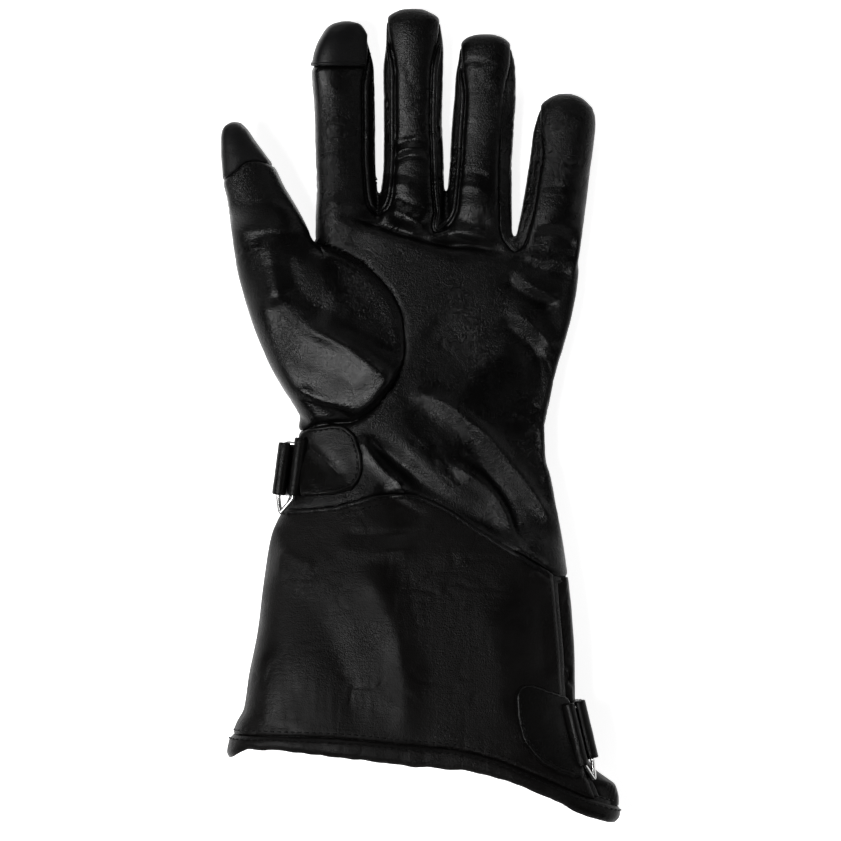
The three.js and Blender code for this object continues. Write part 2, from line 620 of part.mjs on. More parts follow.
// ---------- the assembly ----------
const leather = (name, tone, rough) =>
  new THREE.MeshStandardMaterial({ name, color: new THREE.Color(tone, tone, tone * 1.02), roughness: rough, metalness: 0 });
const MATERIALS = {
  leather: leather("leather", 0.018, 0.42),
  touch: leather("touch_leather", 0.03, 0.5),
  trim: leather("trim_leather", 0.014, 0.5),
  metal: new THREE.MeshStandardMaterial({ name: "metal", color: 0xc9c9c6, roughness: 0.25, metalness: 1 }),
};
const PIECES = [
  { name: "palm_panel", shape: palmPanel, material: "leather" },
  { name: "back_panel", shape: backPanel, material: "leather" },
  { name: "thumb_panel", shape: thumbPanel, material: "leather" },
  { name: "index_tip", shape: indexTip, material: "touch" },
  { name: "thumb_tip", shape: largest(thumbTip), material: "touch" },
  ...fourchettes.map((f) => ({ ...f, material: "leather" })),
  { name: "cuff_palm", shape: cuffPalm, material: "leather" },
  { name: "cuff_back", shape: cuffBack, material: "leather" },
  { name: "cuff_gusset", shape: cuffGusset, material: "leather" },
  { name: "cuff_hem", shape: hem, material: "leather" },
  { name: "wrist_tab", shape: tabSolid(WRIST_FIT, WRIST_TAB), material: "trim" },
  { name: "wrist_ring", shape: ringSolid(WRIST_FIT), material: "metal" },
  { name: "wrist_strap", shape: strapSolid(WRIST_FIT), material: "trim" },
  { name: "cuff_tab", shape: tabSolid(CUFF_FIT, CUFF_TAB), material: "trim" },
  { name: "cuff_ring", shape: ringSolid(CUFF_FIT), material: "metal" },
  { name: "cuff_strap", shape: strapSolid(CUFF_FIT), material: "trim" },
];

const glove = new THREE.Group();
for (const p of PIECES) {
  const mesh = new THREE.Mesh(geometryOf(p.shape), MATERIALS[p.material]);
  mesh.name = p.name;
  glove.add(mesh);
}
export default glove;
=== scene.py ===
# A left-hand leather gauntlet glove, lying on its back with the palm up.
import bpy
import math
import time
import numpy as np
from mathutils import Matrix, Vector
from mathutils.kdtree import KDTree


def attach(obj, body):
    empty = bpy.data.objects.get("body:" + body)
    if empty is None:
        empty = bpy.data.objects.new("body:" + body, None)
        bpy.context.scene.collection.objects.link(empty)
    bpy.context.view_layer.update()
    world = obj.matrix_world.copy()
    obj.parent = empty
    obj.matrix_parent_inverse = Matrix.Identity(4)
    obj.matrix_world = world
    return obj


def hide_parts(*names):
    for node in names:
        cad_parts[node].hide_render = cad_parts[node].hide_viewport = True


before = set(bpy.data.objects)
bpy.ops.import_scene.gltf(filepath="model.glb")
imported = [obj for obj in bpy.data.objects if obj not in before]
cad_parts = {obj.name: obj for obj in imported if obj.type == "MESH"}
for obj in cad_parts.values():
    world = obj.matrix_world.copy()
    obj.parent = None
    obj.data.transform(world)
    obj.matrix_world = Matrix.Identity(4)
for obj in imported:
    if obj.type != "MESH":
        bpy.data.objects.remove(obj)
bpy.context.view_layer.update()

MM = 0.001
CLOCK = [time.time()]
SCALE = 0.43  # millimetres to a pixel of the frame
VOXEL = 0.9  # mm


def tick(what):
    """Prints how long a step took."""
    print("step", what, round(time.time() - CLOCK[-1], 1))
    CLOCK.append(time.time())


def P(x, y):
    """A place in the frame's pixels as x, y in millimetres."""
    return ((x - 421.5) * SCALE, (415.5 - y) * SCALE)


def line(*points):
    return np.array([P(*p) for p in points])


# ---------------------------------------------------------------- camera
cam_data = bpy.data.cameras.new("camera")
cam = bpy.data.objects.new("camera", cam_data)
bpy.context.scene.collection.objects.link(cam)
HIGH = 3.0
cam.location = (-0.5 * SCALE * MM, -5.0 * SCALE * MM, HIGH)
cam_data.sensor_width = 36.0
cam_data.lens = 36.0 * (HIGH - 0.020) / (841 * SCALE * MM)
cam_data.clip_end = 20
bpy.context.scene.camera = cam


# ---------------------------------------------------------------- tables, in mm
# height of the middle of the glove along its length: y, z
MIDDLE = [(-180, 25.0), (-122, 24.2), (-79, 22.0), (-45, 19.8), (-10, 18.0), (15, 15.3), (41, 13.8), (58, 13.0), (75, 12.0), (93, 10.8), (110, 10.3), (127, 11.0), (144, 12.8), (161, 15.2), (176, 18.0)]
# hand and cuff: y, left, right, low, high, skew, squareness
BODY = [
    (77.5, -43.0, 66.5, 2.6, 21.5, -0.17, 2.3), (73.5, -45.2, 68.0, 0.0, 24.2, -0.17, 2.3), (62.6, -45.8, 67.3, -0.6, 25.4, -0.13, 2.4), (49.7, -46.7, 65.4, -0.6, 26.6, -0.08, 2.45),
    (32.5, -48.6, 61.6, -0.4, 28.2, -0.04, 2.4), (15.3, -50.5, 57.2, 0.5, 29.8, 0, 2.35), (2.4, -52.0, 54.6, 2.2, 30.8, 0, 2.3), (-7.1, -52.6, 53.0, 3.8, 31.4, 0, 2.3),
    (-17.0, -52.9, 53.4, 4.0, 32.2, 0, 2.3), (-27.7, -54.0, 56.1, 4.0, 33.4, 0, 2.3), (-38.5, -58.4, 58.0, 3.6, 35.0, 0, 2.3), (-51.4, -64.2, 60.6, 2.6, 37.6, 0, 2.55),
    (-70.7, -67.3, 63.4, 2.2, 40.8, -0.02, 2.55), (-96.5, -70.2, 65.6, 2.4, 44.0, -0.05, 2.55), (-118.0, -73.6, 66.2, 3.6, 46.2, -0.10, 2.55), (-133.0, -75.4, 69.6, 3.6, 47.2, -0.14, 2.55),
    (-137.4, -76.2, 72.2, 3.4, 47.4, -0.15, 2.55), (-141.0, -77.6, 75.8, 2.8, 47.7, -0.158, 2.55), (-145.0, -79.2, 83.2, 2.2, 48.0, -0.165, 2.55), (-151.0, -81.0, 84.8, 1.8, 48.2, -0.17, 2.55),
    (-158.9, -82.6, 84.2, 1.8, 48.5, -0.17, 2.55), (-172.0, -83.6, 82.0, 1.8, 48.6, -0.17, 2.55),
]
# fingers, tip to root: y, left, right, tall
FINGERS = {
    "index": [(169.4, -33.0, -31.0, 0.6), (169.0, -35.0, -29.0, 3.6), (168.3, -37.6, -26.4, 7.0), (166.6, -40.2, -24.9, 10.0), (164.0, -42.1, -23.4, 12.6), (159.7, -44.5, -21.9, 15.0), (153.7, -46.4, -20.9, 16.6), (147.7, -47.2, -20.3, 17.2), (135.7, -46.2, -19.9, 17.8), (123.0, -45.6, -19.8, 18.2), (109.9, -45.4, -19.8, 18.8), (94.8, -44.9, -18.7, 20.0), (84.0, -45.3, -15.8, 21.4), (58.0, -44.5, -12.7, 21.4), (44.0, -41.0, -14.0, 17.0)],
    "middle": [(175.2, -4.6, -2.6, 0.6), (174.8, -8.4, 1.1, 3.6), (173.6, -11.4, 3.8, 7.0), (171.8, -14.2, 7.0, 10.0), (168.3, -15.7, 9.2, 13.0), (161.5, -15.9, 9.7, 15.8), (153.0, -16.0, 9.6, 17.0), (144.3, -16.1, 9.5, 17.8), (127.1, -16.1, 9.0, 18.3), (109.9, -16.1, 9.7, 18.8), (97.0, -17.2, 10.1, 19.8), (84.0, -19.3, 11.6, 21.4), (56.0, -20.4, 14.0, 21.6), (40.0, -16.0, 10.0, 17.0)],
    "ring": [(164.2, 26.6, 28.6, 0.6), (163.8, 23.0, 32.0, 3.6), (163.0, 20.4, 34.6, 7.0), (161.0, 17.8, 37.6, 10.0), (157.2, 15.9, 39.8, 13.0), (150.3, 15.3, 40.9, 15.8), (137.4, 14.4, 40.9, 17.6), (122.8, 13.3, 39.8, 18.2), (107.7, 12.5, 39.1, 18.8), (92.0, 10.9, 39.1, 20.2), (77.0, 9.2, 39.2, 21.8), (54.0, 8.8, 39.8, 22.0), (38.0, 12.0, 36.0, 17.0)],
    "little": [(138.9, 61.2, 63.2, 0.6), (138.5, 58.7, 65.6, 3.2), (137.4, 56.1, 68.6, 6.6), (135.2, 52.9, 71.6, 9.6), (131.4, 50.3, 74.4, 12.6), (126.0, 49.0, 75.2, 15.0), (116.3, 47.9, 74.4, 16.6), (103.0, 45.8, 72.7, 17.6), (89.2, 43.6, 71.0, 18.8), (78.0, 41.3, 69.5, 20.4), (69.0, 38.6, 68.2, 21.4), (52.0, 35.4, 64.6, 20.6), (36.0, 36.0, 58.6, 15.0)],
}
# thumb and its ball: y, left, right, middle, tall
THUMB = [
    (125.9, -81.0, -79.0, 20.6, 0.6), (125.6, -81.9, -78.0, 20.6, 3.2), (124.5, -83.6, -76.5, 20.5, 6.6), (122.8, -85.1, -74.8, 20.4, 9.4), (118.5, -85.8, -71.8, 20.2, 13.0), (112.0, -85.8, -66.9, 20.0, 16.0),
    (105.6, -85.4, -62.1, 19.7, 17.8), (99.5, -84.9, -59.3, 19.4, 18.6), (92.7, -83.2, -55.3, 19.2, 19.8), (85.8, -82.3, -51.4, 18.9, 21.0), (78.0, -81.3, -47.5, 18.6, 22.4), (66.0, -79.6, -38.5, 18.4, 25.0),
    (49.7, -75.6, -29.9, 18.6, 28.4), (36.8, -71.4, -24.7, 18.8, 29.6), (23.9, -66.0, -21.3, 19.0, 29.6), (13.1, -60.2, -21.3, 19.0, 28.0), (2.5, -53.6, -26.6, 18.6, 24.6), (-4.1, -49.5, -32.9, 18.2, 19.0),
]
# seams, seen from the palm side: x, y
THUMB_SEAM = [(-46.2, 75.5), (-36.3, 72.0), (-25.6, 66.4), (-17.0, 58.3), (-11.0, 50.1), (-7.5, 40.2), (-6.9, 27.3), (-9.7, 16.6), (-14.8, 8.8), (-21.3, 1.5), (-30.7, -3.0), (-43.6, -3.7), (-52.7, -6.6), (-82.7, -9.6)]
THUMB_BACK_SEAM = [(-46.2, 75.5), (-42.6, 60.4), (-42.2, 36.8), (-43.5, 11.0), (-52.7, -6.6), (-82.7, -9.6)]
CUFF_SEAM = [(-140, -41.2), (-60.4, -40.6), (-39.3, -39.3), (-26.4, -36.3), (-15.7, -34.0), (-4.1, -34.0), (8.0, -38.1), (25.2, -49.2), (44.5, -60.8), (62.1, -69.4), (140, -72.0)]
HEM_EDGE = [(-140, -147.8), (-84.9, -147.8), (-81.0, -147.2), (-78.0, -145.2), (-74.2, -143.9), (-66.0, -143.9), (-52.2, -144.9), (-35.0, -146.8), (-7.1, -150.3), (21.7, -153.0), (36.8, -157.0), (56.1, -165.3), (74.6, -173.6), (82.3, -175.2), (140, -175.2)]
HEM_TOP = [(-140, -136.6), (-84.9, -136.6), (-52.2, -137.0), (-32.9, -137.8), (-7.1, -140.4), (12.3, -142.0), (33.8, -147.2), (51.0, -154.2), (76.8, -165.0), (90.0, -168.0), (140, -168.0)]
GUSSET_EDGE = [(54.0, -30.0), (56.6, -64.7), (57.8, -79.3), (59.6, -100.8), (61.0, -122.3), (66.0, -141.5), (72.5, -158.0), (76.8, -170.5), (80.0, -200.0)]
THUMB_TIP_SEAM = [(-120, 95.0), (-88.4, 98.7), (-82.8, 102.1), (-78.5, 105.1), (-75.0, 108.4), (-70.7, 109.2), (-60.8, 106.9), (-30, 103.0)]
INDEX_TIP_Y = 150.2
# the gap side of each finger shows this much fourchette, between these crotches
FOURCHETTES = {
    "fourchette_index_middle": {"between": ("index", "middle"), "bottom": P(379, 213.5), "half": 3.4, "tops": (161.0, 168.0)},
    "fourchette_middle_ring": {"between": ("middle", "ring"), "bottom": P(436.5, 233), "half": 3.9, "tops": (168.0, 157.0)},
    "fourchette_ring_little": {"between": ("ring", "little"), "bottom": P(517, 251), "half": 2.6, "tops": (157.0, 131.0)},
}
WRIST_TAB = [(-50.6, -9.0), (-49.0, -6.6), (-44.5, -4.9), (-37.2, -4.0), (-31.6, -5.2), (-27.7, -9.2), (-25.6, -15.7), (-25.2, -22.6), (-26.4, -27.7), (-30.3, -32.0), (-37.2, -33.8), (-46.0, -34.4), (-50.9, -34.6)]
CUFF_TAB = [(61.2, -121.0), (55.3, -118.9), (47.5, -116.0), (43.2, -116.2), (40.9, -120.0), (41.0, -127.4), (44.1, -139.0), (50.8, -147.2), (58.7, -152.0), (65.4, -154.2), (68.4, -154.4), (66.9, -148.0), (64.0, -135.0)]
WRIST_FIT = {"x": -53.4, "y": -22.7, "turn": 172.6, "inner": 27.2, "outer": 25.2, "apart": 6.2, "half_bar": 12.6, "apex": 0.7, "point": 6.8, "side": -1, "flange": (-7.5, 27.4), "wide_in": 25.0, "shift": 0.7, "wide_out": 22.6, "drop": -1.0,
    "tail": [(5.2, 23.4), (4.3, 20.0), (3.9, 16.0), (2.8, 10.5), (0.2, 5.8), (-4.0, 2.7), (-10.0, 1.7), (-24.0, 1.6), (-47.5, 1.6)]}
CUFF_FIT = {"x": 66.1, "y": -135.5, "turn": 13.4, "inner": 38.0, "outer": 33.8, "apart": 4.3, "half_bar": 12.8, "apex": 0.7, "point": 8.4, "side": 1, "flange": (-6.5, 37.8), "wide_in": 27.4, "shift": 1.0, "wide_out": 25.4, "drop": 0.0,
    "tail": [(4.9, 31.8), (4.9, 28.0), (4.9, 23.0), (4.2, 17.0), (2.4, 11.0), (-1.0, 6.2), (-6.0, 2.9), (-12.0, 1.7), (-18.6, 1.6)]}


# ---------------------------------------------------------------- small tools
def pchip(xs, ys, x):
    """Monotone cubic through the points, at x."""
    xs, ys = np.asarray(xs, float), np.asarray(ys, float)
    if xs[0] > xs[-1]:
        xs, ys = xs[::-1], ys[::-1]
    h = np.diff(xs)
    d = np.diff(ys) / h
    m = np.zeros(len(xs))
    m[0], m[-1] = d[0], d[-1]
    for i in range(1, len(xs) - 1):
        if d[i - 1] * d[i] > 0:
            w1, w2 = 2 * h[i] + h[i - 1], h[i] + 2 * h[i - 1]
            m[i] = (w1 + w2) / (w1 / d[i - 1] + w2 / d[i])
    x = np.clip(x, xs[0], xs[-1])
    i = np.clip(np.searchsorted(xs, x) - 1, 0, len(xs) - 2)
    t = (x - xs[i]) / h[i]
    return (2 * t**3 - 3 * t**2 + 1) * ys[i] + (t**3 - 2 * t**2 + t) * h[i] * m[i] + (-2 * t**3 + 3 * t**2) * ys[i + 1] + (t**3 - t**2) * h[i] * m[i + 1]


def middle(y):
    return pchip([r[0] for r in MIDDLE], [r[1] for r in MIDDLE], y)


def smooth(lo, hi, x):
    t = np.clip((x - lo) / (hi - lo), 0, 1)
    return t * t * (3 - 2 * t)


_r = np.random.RandomState(11)
PERM = _r.permutation(512) % 256
GRAD = _r.normal(size=(256, 3))
GRAD /= np.linalg.norm(GRAD, axis=1)[:, None]


def noise(p):
    """Gradient noise of points (n, 3), about -0.7 to 0.7."""
    i = np.floor(p).astype(int)
    f = p - i
    u = f * f * f * (f * (f * 6 - 15) + 10)
    out = np.zeros(len(p))
    for dx in (0, 1):
        for dy in (0, 1):
            for dz in (0, 1):
                k = PERM[(PERM[(PERM[(i[:, 0] + dx) & 255] + i[:, 1] + dy) & 255] + i[:, 2] + dz) & 255]
                g = (GRAD[k] * (f - (dx, dy, dz))).sum(1)
                w = (u[:, 0] if dx else 1 - u[:, 0]) * (u[:, 1] if dy else 1 - u[:, 1]) * (u[:, 2] if dz else 1 - u[:, 2])
                out += w * g
    return out


def densify(pts, step):
    """A polyline through the points as a smooth curve with a point each step."""
    pts = np.asarray(pts, float)
    seg = np.linalg.norm(np.diff(pts, axis=0), axis=1)
    s = np.concatenate([[0], np.cumsum(seg)])
    n = max(2, int(s[-1] / step) + 1)
    t = np.linspace(0, s[-1], n)
    return np.stack([pchip(s, pts[:, k], t) for k in range(pts.shape[1])], 1)


def near(ln, x, y):
    """Distance to a plan polyline, how far along it (0 to 1) and on which side (positive to its left)."""
    ln = np.asarray(ln, float)
    seg = np.diff(ln, axis=0)
    length = np.linalg.norm(seg, axis=1)
    start = np.concatenate([[0], np.cumsum(length)])
    best = np.full(len(x), 1e9)
    along = np.zeros(len(x))
    side = np.zeros(len(x))
    for i in range(len(seg)):
        ax, ay = ln[i]
        dx, dy = seg[i]
        t = np.clip(((x - ax) * dx + (y - ay) * dy) / (length[i] ** 2), 0, 1)
        qx, qy = x - ax - t * dx, y - ay - t * dy
        d = qx * qx + qy * qy
        m = d < best
        best = np.where(m, d, best)
        along = np.where(m, (start[i] + t * length[i]) / start[-1], along)
        side = np.where(m, np.sign(dx * qy - dy * qx), side)
    return np.sqrt(best), along, side


def left_of(ln, x, y):
    """Signed distance to a smooth plan line: positive to its left."""
    d, _, s = near(densify(ln, 2.0), x, y)
    return d * s


def inside_of(outline, x, y):
    """Signed distance to a closed plan outline: positive inside."""
    o = np.asarray(outline, float)
    o = np.vstack([o, o[:1]])
    d, _, _ = near(o, x, y)
    inside = np.zeros(len(x), bool)
    for (x0, y0), (x1, y1) in zip(o[:-1], o[1:]):
        c = (y0 > y) != (y1 > y)
        with np.errstate(divide="ignore", invalid="ignore"):
            inside ^= c & (x < (x1 - x0) * (y - y0) / (y1 - y0 + 1e-12) + x0)
    return np.where(inside, d, -d)


# ---------------------------------------------------------------- meshes as arrays
class Surface:
    """A triangle mesh in millimetres: v (n, 3), f (m, 3), and named numbers at its vertices."""

    def __init__(self, v, f, data=None):
        self.v, self.f, self.data = v, f, data or {}

    def copy(self):
        return Surface(self.v.copy(), self.f.copy(), {k: a.copy() for k, a in self.data.items()})

    def normals(self):
        a, b, c = (self.v[self.f[:, i]] for i in range(3))
        n = np.cross(b - a, c - a)
        out = np.zeros_like(self.v)
        for k in range(3):
            for i in range(3):
                out[:, k] += np.bincount(self.f[:, i], n[:, k], len(self.v))
        return out / np.maximum(np.linalg.norm(out, axis=1), 1e-12)[:, None]

    def edges(self):
        e = np.concatenate([self.f[:, [0, 1]], self.f[:, [1, 2]], self.f[:, [2, 0]]])
        return np.unique(np.sort(e, axis=1), axis=0)

    def relax(self, rounds, factor=0.5, back=0.0, weight=None):
        e = self.edges()
        n = len(self.v)
        count = np.bincount(e.ravel(), minlength=n).clip(1)
        for r in range(rounds):
            for f in (factor, back) if back else (factor,):
                avg = np.stack([np.bincount(e[:, 0], self.v[e[:, 1], k], n) + np.bincount(e[:, 1], self.v[e[:, 0], k], n) for k in range(3)], 1) / count[:, None]
                step = f * (avg - self.v)
                self.v = self.v + (step if weight is None else step * weight[:, None])

    def border(self):
        """Directed border edges (a, b)."""
        e = np.concatenate([self.f[:, [0, 1]], self.f[:, [1, 2]], self.f[:, [2, 0]]])
        key = e[:, 0].astype(np.int64) * (len(self.v) + 1) + e[:, 1]
        back = e[:, 1].astype(np.int64) * (len(self.v) + 1) + e[:, 0]
        return e[~np.isin(key, back)]

    def compact(self):
        used = np.zeros(len(self.v), bool)
        used[self.f.ravel()] = True
        new = np.cumsum(used) - 1
        return Surface(self.v[used], new[self.f], {k: a[used] for k, a in self.data.items()})

    def keep_big(self, share=0.02):
        """Drops small loose bits."""
        e = self.edges()
        label = np.arange(len(self.v))
        while len(e):
            la, lb = label[e[:, 0]], label[e[:, 1]]
            m = la != lb
            e, la, lb = e[m], la[m], lb[m]
            if not len(e):
                break
            np.minimum.at(label, np.maximum(la, lb), np.minimum(la, lb))
            while True:
                new = label[label]
                if (new == label).all():
                    break
                label = new
        face = label[self.f[:, 0]]
        names, counts = np.unique(face, return_counts=True)
        keep = names[counts >= share * counts.sum()]
        return Surface(self.v, self.f[np.isin(face, keep)], self.data).compact()

    def clip(self, value):
        """The part of the surface where value, a number at each vertex, is above 0, cut cleanly along value = 0."""
        g = value.copy()
        some = (g[self.f] > 0).any(1)
        cut = some & (g[self.f] <= 0).any(1)
        v = self.v.copy()
        data = self.data
        # vertices close to the cut are moved onto it, so that no sliver is made
        fc = self.f[cut]
        e = np.concatenate([fc[:, [0, 1]], fc[:, [1, 2]], fc[:, [2, 0]]])
        e = e[(g[e[:, 0]] > 0) != (g[e[:, 1]] > 0)]
        t = g[e[:, 0]] / (g[e[:, 0]] - g[e[:, 1]])
        for end, other, tt in ((0, 1, t), (1, 0, 1 - t)):
            m = tt < 0.28
            i, j, w = e[m, end], e[m, other], tt[m]
            v[i] = self.v[i] + (self.v[j] - self.v[i]) * w[:, None]
            g[i] = 0.0
        s = np.sign(g).astype(int)
        sf = s[self.f]
        whole = (sf >= 0).all(1) & (sf > 0).any(1)
        cut = (sf > 0).any(1) & (sf < 0).any(1)
        key, pairs, ratio = {}, [], []
        n0 = len(v)

        def split(i, j):
            k = (i, j) if i < j else (j, i)
            if k not in key:
                key[k] = n0 + len(pairs)
                pairs.append((i, j))
                ratio.append(g[i] / (g[i] - g[j]))
            return key[k]

        tri = []
        for face in self.f[cut].tolist():
            poly = []
            for k in range(3):
                i, j = face[k], face[(k + 1) % 3]
                if s[i] >= 0:
                    poly.append(i)
                if s[i] * s[j] < 0:
                    poly.append(split(i, j))
            for k in range(1, len(poly) - 1):
                tri.append((poly[0], poly[k], poly[k + 1]))
        f = self.f[whole]
        if tri:
            f = np.concatenate([f, np.array(tri)])
        if pairs:
            ij, r = np.array(pairs), np.array(ratio)
            v = np.vstack([v, v[ij[:, 0]] + (v[ij[:, 1]] - v[ij[:, 0]]) * r[:, None]])
            data = {k: np.concatenate([x, x[ij[:, 0]] + (x[ij[:, 1]] - x[ij[:, 0]]) * r]) for k, x in data.items()}
        return Surface(v, f, data).compact()

    def contour(self, value, level=0.0):
        """Smooth polylines of points, with normals, where value is level."""
        g = value - level
        g = np.where(g == 0, 1e-9, g)
        n = self.normals()
        cut = ((g[self.f] > 0).any(1)) & ((g[self.f] < 0).any(1))
        nodes, place, links = {}, [], {}
        for face in self.f[cut]:
            ends = []
            for k in range(3):
                i, j = int(face[k]), int(face[(k + 1) % 3])
                if (g[i] > 0) != (g[j] > 0):
                    key = (min(i, j), max(i, j))
                    if key not in nodes:
                        t = g[i] / (g[i] - g[j])
                        nodes[key] = len(place)
                        place.append(np.concatenate([self.v[i] + (self.v[j] - self.v[i]) * t, n[i] + (n[j] - n[i]) * t]))
                    ends.append(nodes[key])
            if len(ends) == 2:
                links.setdefault(ends[0], []).append(ends[1])
                links.setdefault(ends[1], []).append(ends[0])
        place = np.array(place)
        seen, lines = set(), []
        starts = [k for k, a in links.items() if len(a) == 1] + list(links)
        for s in starts:
            if s in seen:
                continue
            run, at = [s], s
            seen.add(s)
            while True:
                nxt = [q for q in links[at] if q not in seen]
                if not nxt:
                    break
                at = nxt[0]
                seen.add(at)
                run.append(at)
            if len(run) > 5:
                lines.append(place[run])
        return sorted(lines, key=lambda r: -len(r))


def even(run, step=0.8, rounds=4, closed=False):
    """A polyline of (x, y, z, nx, ny, nz) smoothed and with a point each step."""
    r = run.copy()
    for _ in range(rounds):
        r[1:-1] = r[1:-1] * 0.5 + (r[:-2] + r[2:]) * 0.25
    s = np.concatenate([[0], np.cumsum(np.linalg.norm(np.diff(r[:, :3], axis=0), axis=1))])
    t = np.linspace(0, s[-1], max(3, int(s[-1] / step) + 1))
    out = np.stack([np.interp(t, s, r[:, k]) for k in range(6)], 1)
    out[:, 3:] /= np.linalg.norm(out[:, 3:], axis=1)[:, None]
    return out


def object_of(name, v, f, material, smooth_faces=True, angle=None):
    mesh = bpy.data.meshes.new(name)
    mesh.from_pydata((np.asarray(v) * MM).tolist(), [], [list(map(int, q)) for q in f])
    mesh.update()
    if smooth_faces:
        mesh.polygons.foreach_set("use_smooth", [True] * len(mesh.polygons))
    if angle:
        mesh.set_sharp_from_angle(angle=math.radians(angle))
    o = bpy.data.objects.new(name, mesh)
    bpy.context.scene.collection.objects.link(o)
    mesh.materials.append(material)
    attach(o, "root")
    return o


def join(parts):
    """Several (vertices, faces) as one."""
    v, f, n = [], [], 0
    for pv, pf in parts:
        v.append(np.asarray(pv, float))
        f += [tuple(int(i) + n for i in q) for q in pf]
        n += len(pv)
    return np.vstack(v), f


# ---------------------------------------------------------------- the form
def ring_points(n, left, right, low, high, floor, y, skew, square):
    a = np.linspace(0, 2 * np.pi, n, endpoint=False)
    c, s = np.cos(a), np.sin(a)
    p = 2 / square
    dx = (right - left) / 2 * np.sign(c) * np.abs(c) ** p
    z = (low + high) / 2 + (high - low) / 2 * np.sign(s) * np.abs(s) ** p
    # the leather flattens softly where it rests
    z = np.where(z < floor + 1.2, floor + 1.2 * np.exp(np.minimum((z - floor - 1.2) / 1.2, 0)), z)
    return np.stack([(left + right) / 2 + dx, y + skew * dx, z], 1)


def tube(rings):
    n = len(rings[0])
    v = np.vstack(rings + [rings[0].mean(0)[None], rings[-1].mean(0)[None]])
    f = []
    for i in range(len(rings) - 1):
        for j in range(n):
            a, b = i * n + j, i * n + (j + 1) % n
            f.append((a, b, b + n, a + n))
    a0, a1 = len(v) - 2, len(v) - 1
    last = (len(rings) - 1) * n
    for j in range(n):
        f.append((a0, (j + 1) % n, j))
        f.append((a1, last + j, last + (j + 1) % n))
    return v, f


def finger_tube(rows, tall=3, mid=None, square=2.25):
    y = np.array([r[0] for r in rows])
    u = np.sqrt(y[0] - y)
    t = np.linspace(0, u[-1], 60)
    cols = [pchip(u, [r[k] for r in rows], t) for k in (1, 2, tall)]
    yy = y[0] - t * t
    mz = middle(yy) if mid is None else pchip(u, [r[mid] for r in rows], t)
    return tube([ring_points(64, l, r, m - h / 2, m + h / 2, 0, q, 0, square) for q, l, r, h, m in zip(yy, *cols, mz)])


def body_tube():
    y = np.array([r[0] for r in BODY])
    t = np.concatenate([np.linspace(77.5, -172, 120)])
    cols = [pchip(y, [r[k] for r in BODY], t) for k in range(1, 7)]
    rings = [ring_points(120, *c[:4], 0, q, *c[4:]) for q, c in zip(t, np.array(cols).T)]
    first = rings[0]
    c = first.mean(0)
    caps = []
    for out, s in ((3.2, 0.55), (2.6, 0.78), (1.5, 0.92)):
        r = c + (first - c) * (1, 1, s)
        r[:, 1] += out
        r[:, 0] = c[0] + (r[:, 0] - c[0]) * (0.96 + 0.04 * s)
        caps.append(r)
    return tube(caps + rings)


v, f = join([body_tube(), finger_tube(THUMB, tall=4, mid=3, square=2.2)] + [finger_tube(r) for r in FINGERS.values()])
mesh = bpy.data.meshes.new("form")
mesh.from_pydata((v * MM).tolist(), [], f)
form = bpy.data.objects.new("form", mesh)
bpy.context.scene.collection.objects.link(form)
m = form.modifiers.new("voxels", "REMESH")
m.mode = "VOXEL"
m.voxel_size = VOXEL * MM
m.adaptivity = 0
deps = bpy.context.evaluated_depsgraph_get()
got = form.evaluated_get(deps).to_mesh()
got.calc_loop_triangles()
vv = np.empty(len(got.vertices) * 3)
got.vertices.foreach_get("co", vv)
ff = np.empty(len(got.loop_triangles) * 3, int)
got.loop_triangles.foreach_get("vertices", ff)
skin = Surface(vv.reshape(-1, 3) / MM, ff.reshape(-1, 3))
form.evaluated_get(deps).to_mesh_clear()
bpy.data.objects.remove(form)
bpy.data.meshes.remove(mesh)
skin = skin.keep_big(0.2)
skin.relax(14, 0.5, -0.52)
print("skin", len(skin.v), len(skin.f))
tick("form")

